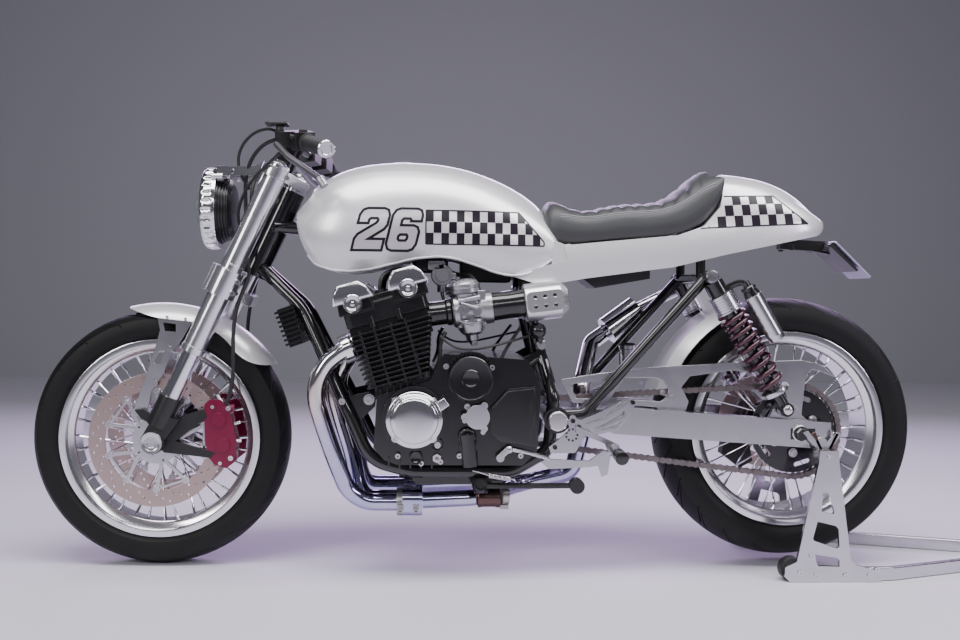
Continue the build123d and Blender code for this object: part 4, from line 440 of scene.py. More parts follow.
def addScrew(form, place, direction, radius, height, sides=14):
    # a cap screw: round head with a sunk socket
    place, direction = Vector(place), Vector(direction).normalized()
    verts = addRod(form, place, place + direction * height, radius, radius * 0.94, sides)
    faces = {face for vert in verts for face in vert.link_faces}
    top = max(faces, key=lambda face: face.calc_center_median().dot(direction))
    bmesh.ops.inset_region(form, faces=[top], thickness=radius * 0.46, use_even_offset=True)
    sunk = bmesh.ops.extrude_discrete_faces(form, faces=[top])["faces"][0]
    bmesh.ops.translate(form, verts=sunk.verts, vec=-direction * height * 0.7)


def addScrews(form, places, direction, radius, height):
    for place in places:
        addScrew(form, place, direction, radius, height)


def spinProfile(form, profile, centre):
    # turns a closed run of (across, radius) pairs about the wheel axle through centre
    verts = [form.verts.new(centre + Vector((0, across, radius))) for across, radius in profile]
    edges = [form.edges.new(pair) for pair in zip(verts, verts[1:] + verts[:1])]
    bmesh.ops.spin(form, geom=verts + edges, cent=centre, axis=(0, 1, 0), angle=math.tau, steps=160,
                   use_merge=True)
    bmesh.ops.remove_doubles(form, verts=form.verts, dist=0.00001)
    bmesh.ops.recalc_face_normals(form, faces=form.faces)


def addTurned(form, start, direction, profile, steps):
    # turns (along, radius) pairs about any line
    start, direction = Vector(start), Vector(direction).normalized()
    across = direction.orthogonal().normalized()
    verts = [form.verts.new(start + direction * along + across * radius) for along, radius in profile]
    edges = [form.edges.new(pair) for pair in zip(verts, verts[1:])]
    before = set(form.faces)
    bmesh.ops.spin(form, geom=verts + edges, cent=start, axis=direction, angle=math.tau, steps=steps,
                   use_merge=True)
    made = [face for face in form.faces if face not in before]
    bmesh.ops.remove_doubles(form, verts=list({vert for face in made for vert in face.verts}), dist=0.00001)
    bmesh.ops.recalc_face_normals(form, faces=[face for face in form.faces if face not in before])


def drum(first, last, radius, edge, bore=0.0):
    # profile of a plain turned part with its two rims bevelled
    return [(first, bore), (first, radius - edge), (first + edge, radius), (last - edge, radius),
            (last, radius - edge), (last, bore)]


def takeCurve(form, curve, place=None):
    # makes a curve a mesh, puts it in place and joins it to the form
    holder = bpy.data.objects.new("route", curve)
    bpy.context.scene.collection.objects.link(holder)
    mesh = bpy.data.meshes.new_from_object(holder.evaluated_get(bpy.context.evaluated_depsgraph_get()))
    if place:
        mesh.transform(place)
    loose = bmesh.new()
    loose.from_mesh(mesh)
    bmesh.ops.remove_doubles(loose, verts=loose.verts, dist=0.00001)
    loose.to_mesh(mesh)
    loose.free()
    form.from_mesh(mesh)
    bpy.data.objects.remove(holder)
    bpy.data.curves.remove(curve)
    bpy.data.meshes.remove(mesh)


def circleLine(s, z, radius, sides):
    return [(s + radius * math.cos(math.tau * step / sides), z + radius * math.sin(math.tau * step / sides))
            for step in range(sides)]


def addPlate(form, outlines, place, thick, soft):
    # a flat plate: the first outline is its edge, the others are holes; outlines in millimetres
    curve = bpy.data.curves.new("plate", "CURVE")
    curve.dimensions = "2D"
    curve.fill_mode = "BOTH"
    curve.extrude = thick / 2 - soft
    curve.bevel_depth = soft
    curve.bevel_resolution = 1
    for outline in outlines:
        line = curve.splines.new("POLY")
        line.points.add(len(outline) - 1)
        for point, (across, up) in zip(line.points, outline):
            point.co = (across / 1000, up / 1000, 0, 1)
        line.use_cyclic_u = True
    takeCurve(form, curve, place)


def addSidePlate(form, y, thick, outlines, soft=0.0004):
    # the same, upright along the machine, drawn in stations and heights
    place = Matrix.Translation(at(0, y, 0)) @ Matrix.Rotation(math.pi / 2, 4, "X")
    addPlate(form, outlines, place, thick / 1000, soft)


def paint(form, before):
    # the second finish for every face made since then
    for face in form.faces:
        if face not in before:
            face.material_index = 1


def addTube(form, points, radius, sides, rounds=6):
    # a bent wire or hose through a few points, smoothed by a curve and made a mesh
    curve = bpy.data.curves.new("route", "CURVE")
    curve.dimensions = "3D"
    line = curve.splines.new("NURBS")
    line.points.add(len(points) - 1)
    for point, place in zip(line.points, points):
        point.co = (*place, 1)
    line.use_endpoint_u = True
    line.order_u = 3
    line.resolution_u = rounds
    curve.bevel_depth = radius
    curve.bevel_resolution = max(1, sides // 4 - 1)
    curve.use_fill_caps = True
    takeCurve(form, curve)


def copyNode(name, flat):
    # a merged copy of a CAD node, with the triangles of its flat faces joined
    form = bmesh.new()
    form.from_mesh(nodes[name].data)
    bmesh.ops.remove_doubles(form, verts=form.verts, dist=0.00002)
    bmesh.ops.dissolve_limit(form, angle_limit=math.radians(flat), verts=form.verts, edges=form.edges)
    return form


def sliceAt(form, axis, level):
    # an edge wherever the faces cross one level of one axis
    point, normal = Vector(), Vector()
    point[axis], normal[axis] = level, 1
    bmesh.ops.bisect_plane(form, geom=form.verts[:] + form.edges[:] + form.faces[:], plane_co=point,
                           plane_no=normal, dist=0.00001)


def windCoil(start, run, radius, turns, parts, places):
    # points of a wire wound about a line, parts to a turn; places says how far along each point lies
    across = run.orthogonal().normalized()
    other = run.cross(across)
    points = []
    for step in range(int(turns * parts) + 1):
        angle = math.tau * step / parts
        points.append(start + run * places(step / (turns * parts))
                      + (across * math.cos(angle) + other * math.sin(angle)) * radius)
    return points


def soften(name, finish, width, sharp=28, flat=0.6, segments=2, extra=None, label=None):
    # the same piece with its edges rounded off; extra adds screws and trim to it
    form = copyNode(name, flat)
    hard = [edge for edge in form.edges if len(edge.link_faces) == 2
            and edge.calc_face_angle(0) > math.radians(sharp)]
    bmesh.ops.bevel(form, geom=hard, offset=width, offset_type="OFFSET", affect="EDGES", segments=segments,
                    profile=0.5, material=-1, clamp_overlap=True)
    if extra:
        extra(form)
    settle(label or name + "Soft", form, finish, bodyOf[name], (name,), 40)


bodyOf = {node: body for body, names in frame["record"]["behaviour"]["bodies"].items() for node in names}
print("tools ready")

# wheels: tyre with cut tread, dished rim, laced spokes with nipples
wheels = {
    "front": {"axle": frontAxle, "radius": 0.300, "half": 0.060, "rimHalf": 0.050,
              "flange": 0.036, "cuts": 20},
    "rear": {"axle": rearAxle, "radius": 0.312, "half": 0.086, "rimHalf": 0.074,
             "flange": 0.040, "cuts": 22},
}
wheelShape = {"lip": 0.233, "seat": 0.221, "well": 0.204, "wall": 0.004, "spokes": 36, "spokeStart": 0.038,
              "spokeRadius": 0.0019, "lean": 26, "rimAcross": 0.012, "cutDepth": 0.0055, "cutWidth": 0.0064}


def treadRadius(wheel, across):
    drop = 0.30 * (wheel["radius"] - wheelShape["lip"])
    return wheel["radius"] - drop * min(1.2, abs(across) / (0.93 * wheel["half"])) ** 2.2


def makeTyre(key):
    wheel = wheels[key]
    half, lip, bead = wheel["half"], wheelShape["lip"], wheel["rimHalf"] - 0.005
    depth = wheel["radius"] - lip
    tread = [(0.93 * half * step / 16, treadRadius(wheel, 0.93 * half * step / 16))
             for step in range(-16, 17)]
    wall = [(0.968 * half, lip + 0.60 * depth), (0.99 * half, lip + 0.48 * depth),
            (half, lip + 0.36 * depth), (0.985 * half, lip + 0.23 * depth),
            (0.955 * half, lip + 0.14 * depth), (0.5 * (half + bead), lip + 0.06 * depth),
            (bead + 0.003, lip + 0.002), (bead, lip - 0.001), (bead, wheelShape["seat"])]
    profile = tread + wall + [(-across, radius) for across, radius in reversed(wall)]
    form = bmesh.new()
    spinProfile(form, profile, wheel["axle"])
    knife = bmesh.new()
    for cut in range(wheel["cuts"]):
        for side, start in ((-1, 0.0), (1, 0.5)):
            for reach, lag, swing in (((0.14, 0.93), 0.0, 0.24), ((0.50, 0.97), 0.5, 0.15)):
                phase = math.tau * (cut + start + lag) / wheel["cuts"]
                addTreadCut(knife, wheel, side, reach, phase, swing)
    return cutAway("tyre", form, knife)


def addTreadCut(knife, wheel, side, reach, phase, swing):
    # one curved groove, narrow at both ends, that follows the crown of the tread
    rings = []
    for step in range(9):
        along = step / 8
        across = side * wheel["half"] * (reach[0] + (reach[1] - reach[0]) * along)
        angle = phase + swing * along ** 1.4
        width = wheelShape["cutWidth"] * (0.45 + 0.55 * math.sin(math.pi * min(1, 0.12 + along * 0.85)))
        radius = treadRadius(wheel, across)
        ring = []
        for offset, level in ((-width / 2, 0.003), (width / 2, 0.003), (width / 3, -wheelShape["cutDepth"]),
                              (-width / 3, -wheelShape["cutDepth"])):
            turn = angle + offset / radius
            ring.append(knife.verts.new(wheel["axle"] + Vector((math.sin(turn) * (radius + level), across,
                                                                math.cos(turn) * (radius + level)))))
        rings.append(ring)
    for first, second in zip(rings, rings[1:]):
        for corner in range(4):
            follow = (corner + 1) % 4
            knife.faces.new((first[corner], first[follow], second[follow], second[corner]))
    knife.faces.new(list(reversed(rings[0])))
    knife.faces.new(rings[-1])


def cutAway(name, form, knife):
    # takes the knife's shapes out of the form and gives the result back as a form
    bmesh.ops.recalc_face_normals(knife, faces=knife.faces)
    meshes = []
    for each in (form, knife):
        mesh = bpy.data.meshes.new(name)
        each.to_mesh(mesh)
        each.free()
        meshes.append(bpy.data.objects.new(name, mesh))
        bpy.context.scene.collection.objects.link(meshes[-1])
    whole, cutter = meshes
    cut = whole.modifiers.new("cut", "BOOLEAN")
    cut.operation = "DIFFERENCE"
    cut.solver = "EXACT"
    cut.object = cutter
    mesh = bpy.data.meshes.new_from_object(whole.evaluated_get(bpy.context.evaluated_depsgraph_get()))
    result = bmesh.new()
    result.from_mesh(mesh)
    for item in (whole, cutter):
        bpy.data.objects.remove(item)
    bpy.data.meshes.remove(mesh)
    return result


def makeRim(key):
    wheel = wheels[key]
    half, lip, seat, well = wheel["rimHalf"], wheelShape["lip"], wheelShape["seat"], wheelShape["well"]
    wall = wheelShape["wall"]
    side = [(half, seat - wall), (half + 0.0006, seat), (half + 0.0006, lip - 0.0028),
            (half - 0.0002, lip - 0.0008), (half - 0.0018, lip), (half - 0.0036, lip - 0.0006),
            (half - 0.005, lip - 0.003), (half - 0.005, seat), (half - 0.020, seat), (half - 0.027, well)]
    under = [(half - 0.025, well - wall), (half - 0.021, well - wall + 0.005),
             (half - 0.016, seat - wall - 0.001), (half - 0.012, seat - wall)]
    profile = side + [(-across, radius) for across, radius in reversed(side)]
    profile += [(-across, radius) for across, radius in reversed(under)] + under
    form = bmesh.new()
    spinProfile(form, profile, wheel["axle"])
    return form


def placeSpokes(key):
    wheel = wheels[key]
    reach = wheelShape["well"] - wheelShape["wall"]
    for index in range(wheelShape["spokes"]):
        turn = 360 / wheelShape["spokes"] * index
        lean = wheelShape["lean"] if index % 4 < 2 else -wheelShape["lean"]
        side = 1 if index % 2 else -1
        spokeTurn = Matrix.Rotation(math.radians(turn + lean), 3, "Y")
        start = spokeTurn @ Vector((wheelShape["spokeStart"], 0, 0))
        end = Matrix.Rotation(math.radians(turn), 3, "Y") @ Vector((reach, 0, 0))
        yield (wheel["axle"] + start + Vector((0, side * wheel["flange"], 0)),
               wheel["axle"] + end + Vector((0, side * wheelShape["rimAcross"], 0)))


def makeHub(key, barrels):
    # barrels: (across from, across to, radius) of each turned part of the hub
    wheel = wheels[key]
    form = bmesh.new()
    for first, last, radius in barrels:
        edge = min(0.002, (last - first) / 4)
        addTurned(form, wheel["axle"], (0, 1, 0), drum(first, last, radius, edge, 0.0127), 64)
    turned = set(form.faces)
    for start, end in placeSpokes(key):
        run = (end - start).normalized()
        addRod(form, start, end, wheelShape["spokeRadius"], segments=8)
        addRod(form, end - run * 0.020, end + run * 0.002, 0.0031, 0.0036, segments=8)
    paint(form, turned)
    return form


frontBarrels = ((-0.0725, -0.064, 0.044), (-0.066, -0.038, 0.030), (-0.040, -0.032, 0.046),
                (-0.034, 0.034, 0.028), (0.032, 0.040, 0.046), (0.038, 0.066, 0.030),
                (0.064, 0.0725, 0.044))
rearBarrels = ((-0.099, -0.058, 0.072), (-0.060, -0.038, 0.034), (-0.044, -0.036, 0.048),
               (-0.038, 0.038, 0.034), (0.036, 0.044, 0.048), (0.042, 0.090, 0.034), (0.087, 0.099, 0.050))
settle("frontTyre", makeTyre("front"), "tyreRubber", "front_wheel", ("front_tyre",), 24)
settle("rearTyre", makeTyre("rear"), "tyreRubber", "rear_wheel", ("rear_tyre",), 24)
settle("frontRim", makeRim("front"), "rimAlloy", "front_wheel", ("front_rim",), 34)
settle("rearRim", makeRim("rear"), "rimAlloy", "rear_wheel", ("rear_rim",), 34)
settle("frontHub", makeHub("front", frontBarrels), ("frameBlack", "chrome"), "front_wheel", ("front_hub",))
settle("rearHub", makeHub("rear", rearBarrels), ("frameBlack", "chrome"), "rear_wheel", ("rear_hub",))
print("wheels laced")

# front end: discs on their bobbins, fork, calipers, lamp and bars
disc = {"outer": 155, "inner": 118, "thick": 5, "offset": 75, "bobbinCircle": 114, "node": 50,
        "vents": (128, 137, 146), "ventRadius": 3.2, "ventCount": 20,
        "bobbin": ((0, 0.0), (0, 0.0088), (0.0048, 0.0088), (0.0052, 0.0080), (0.0052, 0.0046),
                   (0.0036, 0.0042), (0.0036, 0.0))}


def onDisc(circle, degrees, y):
    angle = math.radians(degrees)
    return at(circle * math.cos(angle), y, 300 + circle * math.sin(angle))


def makeDiscs():
    form = bmesh.new()
    holes = [circleLine(circle * math.cos(turn), 300 + circle * math.sin(turn), disc["ventRadius"], 10)
             for row, circle in enumerate(disc["vents"])
             for turn in (math.radians(18 * index + 6 * row) for index in range(disc["ventCount"]))]
    for side in (-1, 1):
        addSidePlate(form, side * disc["offset"], disc["thick"],
                     [circleLine(0, 300, disc["outer"], 140), circleLine(0, 300, disc["inner"], 100)]
                     + holes)
    rings = set(form.faces)
    for side in (-1, 1):
        y = side * disc["offset"]
        addSidePlate(form, y, 4.6, [circleLine(0, 300, disc["node"] + 5, 60), circleLine(0, 300, 27, 48)])
        for spoke in range(5):
            middle = 72 * spoke
            for lean in (-18, 18):
                start = onDisc(disc["node"] - 4, middle, y)
                end = onDisc(disc["bobbinCircle"], middle + lean, y)
                run = end - start
                turn = Matrix.Rotation(math.atan2(run.x, run.z), 4, "Y")
                addBlock(form, (start + end) / 2, (0.0085, 0.0048, run.length), turn, 0.0008)
                place = onDisc(disc["bobbinCircle"], middle + lean, y - side * 2)
                addTurned(form, place, (0, side, 0), disc["bobbin"], 24)
            first, last = (onDisc(disc["bobbinCircle"], middle + lean, y) for lean in (-18, 18))
            run = last - first
            addBlock(form, (first + last) / 2, (0.0065, 0.0044, run.length),
                     Matrix.Rotation(math.atan2(run.x, run.z), 4, "Y"), 0.0008)
            addScrew(form, onDisc(40, middle + 36, y + side * 2.3), (0, side, 0), 0.0052, 0.0012)
    paint(form, rings)
    return form


settle("brakeDiscs", makeDiscs(), ("discSteel", "brushedAlloy"), "front_wheel", ("front_discs",), 14)

fork = {"foot": at(-7.8, 0, 300), "offset": 0.105, "ahead": Vector((-0.909961, 0, 0.414693)),
        "collars": ((0.226, 0.242, 0.0285), (0.446, 0.449, 0.0272), (0.690, 0.699, 0.0245))}


def legPoint(side, along, ahead=0.0, inwards=0.0):
    # a point on a fork leg, from axle height up the leg, ahead of its line and towards the wheel
    across = Vector((0, side * (fork["offset"] - inwards), 0))
    return fork["foot"] + across + steerAxis * along + fork["ahead"] * ahead


def trimForkTubes(form):
    for side in (-1, 1):
        for first, last, radius in fork["collars"]:
            addTurned(form, legPoint(side, first), steerAxis,
                      drum(0, last - first, radius, 0.001, 0.0216), 48)
        addTurned(form, legPoint(side, 0.699), steerAxis,
                  [(0, 0.020), (0.004, 0.0195), (0.005, 0.012), (0.010, 0.012), (0.011, 0.0)], 6)


def trimForkFeet(form):
    for side in (-1, 1):
        addScrew(form, at(22, side * 122, 331), (0, side, 0), 0.0045, 0.004)
        addScrew(form, at(-20, side * 122, 292), (0, side, 0), 0.0045, 0.004)


def trimAxle(form):
    for side in (-1, 1):
        addTurned(form, frontAxle + Vector((0, side * 0.1275, 0)), (0, side, 0),
                  [(0, 0.0135), (0, 0.0245), (0.0015, 0.0252), (0.003, 0.0242), (0.003, 0.0188),
                   (0.0012, 0.0180), (0.0012, 0.0135)], 64)


def trimCalipers(form):
    for side in (-1, 1):
        outer = side * 97
        for s, z in ((166, 376), (172, 262)):
            addRod(form, at(s - 4, outer - side * 12, z), at(s + 12, outer - side * 12, z),
                   0.0085, segments=18)
        plain = set(form.faces)
        for s, z, radius in ((168, 377, 0.0062), (174, 262, 0.0062), (132, 380, 0.0045),
                             (150, 250, 0.0045)):
            addScrew(form, at(s, outer, z), (0, side, 0), radius, 0.006)
        addRod(form, at(150, outer - side * 6, 392), at(141, outer - side * 2, 408), 0.0052, 0.0032, 14)
        addRod(form, at(182, outer - side * 10, 300), at(196, outer - side * 10, 300), 0.0036, segments=12)
        addRod(form, at(180, outer - side * 10, 340), at(194, outer - side * 10, 344), 0.0036, segments=12)
        paint(form, plain)


def trimClamps(form):
    for side in (-1, 1):
        for along in (0.388, 0.416, 0.678):
            addScrew(form, legPoint(side, along, -0.030, 0.020), (0, side, 0), 0.006, 0.046)
    addTurned(form, fork["foot"] + steerAxis * 0.690 - fork["ahead"] * 0.035, steerAxis,
              [(0, 0.0), (0, 0.021), (0.006, 0.021), (0.008, 0.016), (0.016, 0.015), (0.017, 0.0)], 6)


soften("fork_outer_tubes", "forkSilver", 0.0008, extra=trimForkTubes)
soften("fork_inner_tubes", "chrome", 0.0005)
soften("fork_feet", "satinBlack", 0.0022, extra=trimForkFeet)
soften("front_axle_shaft", "brushedAlloy", 0.0012, extra=trimAxle)
soften("triple_clamps", "forkSilver", 0.0016, extra=trimClamps)
soften("front_calipers", ("redAnodised", "polishedAlloy"), 0.0026, math.degrees(0.6), segments=3,
       extra=trimCalipers, label="calipers")



def trimFenderBrackets(form):
    for side in (-1, 1):
        for s, z in ((29, 512), (-2, 432), (-36, 366)):
            addScrew(form, at(s, side * 88, z), (0, side, 0), 0.0075, 0.004, 20)
        for s in (20, 62):
            addScrew(form, at(s, side * 66, 583 - 0.1 * s), (0, side * 0.5, 0.87), 0.0035, 0.006)


soften("fender_brackets", "brushedAlloy", 0.0008, extra=trimFenderBrackets)

# head lamp: scalloped ring, fluted glass over a bright dish, ribbed shell
lamp = {
    "centre": at(0, 0, 842), "scallops": 30, "depth": 0.0042,
    "ring": ((0.095, 0.0880, 0), (0.0955, 0.0905, 0), (0.098, 0.0935, 0), (0.103, 0.0962, 0.4),
             (0.108, 0.0972, 1), (0.116, 0.0972, 1), (0.121, 0.0966, 0.4), (0.124, 0.0960, 0),
             (0.130, 0.0955, 0), (0.131, 0.0945, 0), (0.131, 0.0845, 0), (0.124, 0.0845, 0),
             (0.123, 0.0870, 0)),
    "dish": ((0.1025, 0.0835), (0.1028, 0.070), (0.1032, 0.050), (0.1036, 0.022), (0.1037, 0.0)),
    "bulb": ((0.092, 0.0), (0.093, 0.008), (0.103, 0.009), (0.1035, 0.0)),
}


def makeLampRing():
    # thirty scallops round the rim; a section's third value is its share of their depth
    form = bmesh.new()
    rings = []
    steps = lamp["scallops"] * 8
    for step in range(steps):
        angle = math.tau * step / steps
        cut = max(0.0, math.cos(lamp["scallops"] * angle)) ** 0.7 * lamp["depth"]
        ring = []
        for along, radius, share in lamp["ring"]:
            out = radius - cut * share
            place = Vector((along, math.sin(angle) * out, math.cos(angle) * out))
            ring.append(form.verts.new(lamp["centre"] + place))
        rings.append(ring)
    for first, second in zip(rings, rings[1:] + rings[:1]):
        for index in range(len(first)):
            follow = (index + 1) % len(first)
            form.faces.new((first[index], first[follow], second[follow], second[index]))
    bmesh.ops.recalc_face_normals(form, faces=form.faces)
    return form


def makeLampDish():
    # bright reflector behind the glass with its bulb
    form = bmesh.new()
    addTurned(form, lamp["centre"], (1, 0, 0), lamp["dish"], 64)
    addTurned(form, lamp["centre"], (1, 0, 0), lamp["bulb"], 24)
    return form


settle("lampRing", makeLampRing(), "polishedAlloy", "steering", ("headlight_ring",), 50)
settle("lampDish", makeLampDish(), "chrome", "steering")
soften("headlight_lens", "lens", 0.0004, sharp=50)
soften("headlight_shell", "satinBlack", 0.0008)


def trimLampBracket(form):
    for side in (-1, 1):
        addScrew(form, at(166, side * 70, 924), (0, side, 0), 0.0062, 0.005)
        addScrew(form, at(236, side * 70, 938), (0, side, 0), 0.0048, 0.004)
        addRod(form, at(120, side * 70, 912), at(146, side * 70, 912), 0.007, segments=18)


soften("headlight_bracket", "polishedAlloy", 0.001, extra=trimLampBracket)

# handlebar: grips with fine rings, bar ends, housings, levers
bars = {"bend": (300, 105, 1004), "tip": (409, 352, 941), "grip": (238, 350), "rings": 26}


def barPoint(across, side):
    share = (across - bars["bend"][1]) / (bars["tip"][1] - bars["bend"][1])
    s, z = (bars["bend"][index] + share * (bars["tip"][index] - bars["bend"][index]) for index in (0, 2))
    return at(s, side * across, z)


def makeGrips():
    form = bmesh.new()
    for side in (-1, 1):
        start, end = barPoint(bars["grip"][0], side), barPoint(bars["grip"][1], side)
        run = (end - start).length
        profile = [(0, 0.0112), (0, 0.0195), (0.002, 0.0205), (0.006, 0.0205), (0.008, 0.0165)]
        step = (run - 0.016) / bars["rings"]
        for ring in range(bars["rings"]):
            along = 0.010 + step * ring
            profile += [(along, 0.0158), (along + 0.3 * step, 0.0166), (along + 0.7 * step, 0.0166),
                        (along + step * 0.97, 0.0158)]
        profile += [(run - 0.004, 0.0168), (run, 0.0168), (run, 0.0112)]
        addTurned(form, start, end - start, profile, 28)
    rubber = set(form.faces)
    for side in (-1, 1):
        start, end = barPoint(bars["grip"][0], side), barPoint(bars["grip"][1], side)
        addTurned(form, end, end - start,
                  [(0.0004, 0.0), (0.0004, 0.0175), (0.0015, 0.0186), (0.0085, 0.0186), (0.0100, 0.0172),
                   (0.0100, 0.0120), (0.0080, 0.0105), (0.0080, 0.0)], 40)
    paint(form, rubber)
    return form


def trimControls(form):
    for side in (-1, 1):
        addBlock(form, at(284, side * 166, 1019), (0.050, 0.040, 0.005), soft=0.0012)
        for s, y in ((266, 152), (302, 152), (266, 180), (302, 180)):
            addScrew(form, at(s, side * y, 1021), (0, 0, 1), 0.0026, 0.0022, 10)
        box = barPoint(211, side)
        for offset in (-0.012, 0.0, 0.012):
            addRod(form, box + Vector((-0.018, offset, 0.006)), box + Vector((-0.027, offset, 0.009)),
                   0.0042, segments=14)
        addBlock(form, box + Vector((0.0, 0, 0.021)), (0.018, 0.018, 0.006), soft=0.001)


settle("ribbedGrips", makeGrips(), ("softRubber", "polishedAlloy"), "steering", ("grips",), 30)
soften("bar_controls", "satinBlack", 0.0018, extra=trimControls)
soften("levers", "castAlloy", 0.0008)
print("front end dressed")

# engine: cases with their screws, bright covers, finned block, plug leads, carburettors and pods
engine = {
    "coverScrews": ((665, 485), (767, 483), (713, 396)),
    "altScrews": ((556, 399), (629, 404), (631, 329), (556, 327)),
    "caseBolts": ((697, 285), (788, 281), (834, 286), (560, 284), (612, 268), (655, 272)),
    "plateBolts": ((491, 402), (455, 358), (814, 467), (840, 454)),
    "camCap": ((-39, 2), (-33, 21), (-22, 33), (20, 33), (31, 22), (40, 2)),
    "cams": (-46, 80), "camHeight": 212, "camMiddle": (504.3, 635.4),
    "earScrews": ((707, 366), (746, 399), (748, 341)),
    "camPlug": ((0, 0), (0, 0.0205), (0.003, 0.0205), (0.006, 0.0185), (0.006, 0.0145), (0.0042, 0.0135),
                (0.0042, 0.006), (0.0052, 0.0045), (0.0052, 0)),
    "altDome": ((-0.024, 0.0), (-0.024, 0.0625), (-0.006, 0.0625), (-0.003, 0.0600), (-0.003, 0.0545),
                (-0.001, 0.0525), (0.002, 0.0515), (0.0050, 0.0480), (0.0066, 0.0400), (0.0072, 0.0200),
                (0.0072, 0.0)),
}


def trimCases(form):
    # black rings, filler cap, seams and the screws of the left and right covers
    for s, z, first, last, radius in ((720, 458, 216, 221, 50), (720, 458, 219, 222, 21),
                                      (648, 309, 190, 204, 13), (600, 280, 190, 208, 15),
                                      (714, 327, 196, 214, 20)):
        addTurned(form, at(s, -first, z), (0, -1, 0),
                  [(0, 0.0), (0, radius / 1000), ((last - first - 1.5) / 1000, radius / 1000),
                   ((last - first) / 1000, (radius - 1.5) / 1000),
                   ((last - first) / 1000, (radius - 5) / 1000),
                   ((last - first - 2) / 1000, (radius - 6.5) / 1000),
                   ((last - first - 2) / 1000, 0.0)], 48)
    addRod(form, at(714, -204, 334), at(722, -204, 262), 0.020, 0.018, 32)
    addRod(form, at(714, -214, 328), at(714, -221, 328), 0.010, 0.0095, 6)
    for turn in range(14):
        angle = math.radians(30 + 10 * turn)
        addRod(form, at(720 + 56 * math.cos(angle), -202, 458 + 56 * math.sin(angle)),
               at(720 + 56 * math.cos(angle), -206, 458 + 56 * math.sin(angle)), 0.0052, 0.0040, 12)
    cover = [(768, 389), (804, 429), (862, 436), (871, 309), (822, 316), (789, 318), (765, 341)]
    addSidePlate(form, -207.5, 3.6, [cover], 0.0012)
    for first, last in zip(cover, cover[1:] + cover[:1]):
        addRod(form, at(first[0], -206, first[1]), at(last[0], -206, last[1]), 0.0022, segments=8)
    for s, z in ((855, 396), (861, 367), (855, 335)):
        addRod(form, at(s, -208, z - 14), at(s, -208, z + 14), 0.0022, segments=8)
    for side in (-1, 1):
        for row in range(5):
            addBlock(form, at(540 + 24 * row, side * 191, 268), (0.004, 0.006, 0.026), soft=0.001)
        for row in range(6):
            addBlock(form, at(520 + 15 * row, side * 192, 425 + 4 * row), (0.004, 0.008, 0.018), soft=0.001)
    for tilt in range(5):
        addTube(form, [at(530 + 8 * tilt, -193, 400 - 12 * tilt), at(522 + 6 * tilt, -195, 360 - 12 * tilt),
                       at(540 + 8 * tilt, -193, 318 - 4 * tilt)], 0.0026, 8)
    black = set(form.faces)
    addScrews(form, [at(s, -203, z) for s, z in engine["coverScrews"]], (0, -1, 0), 0.0070, 0.007)
    addScrews(form, [at(s, -190, z) for s, z in engine["caseBolts"]], (0, -1, 0), 0.0064, 0.016)
    addScrew(form, at(647, -190, 279), (0, -1, 0), 0.011, 0.012, 6)
    addTurned(form, at(648, -202, 309), (0, -1, 0), [(0, 0), (0, 0.0075), (0.004, 0.007), (0.004, 0)], 24)
    for s, z in ((620, 470), (548, 420), (695, 420), (545, 315), (700, 330), (620, 280)):
        addScrew(form, at(s, 230, z), (0, 1, 0), 0.0068, 0.006)
    paint(form, black)


barrel = {"foot": at(562, 0, 440), "up": Vector((-0.284015, 0, 0.958820)),
          "back": Vector((0.958820, 0, 0.284015))}


def onBarrel(back, up, y):
    # a point beside the leaning cylinders, behind their middle line and up along it
    return barrel["foot"] + (barrel["back"] * back + barrel["up"] * up + Vector((0, y, 0))) / 1000


def trimCovers(form):
    # screws of the alternator cover and of the cover with three ears, caps and plugs of the cam ends
    for s, z in engine["altScrews"]:
        addScrew(form, at(s, -230, z), (0, -1, 0), 0.0062, 0.005)
    for s, z in engine["earScrews"]:
        addScrew(form, at(s, -223, z), (0, -1, 0), 0.0056, 0.004)
    addTurned(form, at(596, -236, 368), (0, -1, 0), engine["altDome"], 72)
    addBlock(form, at(654, -218, 399), (0.034, 0.016, 0.022),
             Matrix.Rotation(math.radians(-35), 4, "Y"), 0.003)
    middleS, middleZ = engine["camMiddle"]
    for side in (-1, 1):
        for cam in engine["cams"]:
            corners = [onBarrel(cam + along, engine["camHeight"] + up, 0) for along, up in engine["camCap"]]
            addSidePlate(form, side * 221, 12,
                         [[(corner.x * 1000 + 925, corner.z * 1000) for corner in corners]], 0.0052)
            middle = at(middleS, side * 224, middleZ) + barrel["back"] * (cam - 2) / 1000
            addTurned(form, middle, (0, side, 0), engine["camPlug"], 40)


def trimBlock(form):
    # studs between the fins
    for side in (-1, 1):
        for back in (-52, -20, 18, 52):
            addRod(form, onBarrel(back, 4, side * 196), onBarrel(back, 142, side * 196),
                   0.0036, segments=10)


def trimHead(form):
    # stubs on the sides of the cam boxes
    for side in (-1, 1):
        for s, z in ((499, 581), (559, 600)):
            start = at(s, side * 188, z)
            addRod(form, start - barrel["up"] * 0.012, start + barrel["up"] * 0.014, 0.0085, 0.0068, 12)


soften("engine_cases", ("gloss", "brightBolt"), 0.0022, extra=trimCases)
soften("engine_covers", "coverAlloy", 0.0036, sharp=20, segments=3, extra=trimCovers)
soften("cylinder_block", "finBlack", 0.0006, extra=trimBlock)
soften("cylinder_head", "finBlack", 0.0030, extra=trimHead)


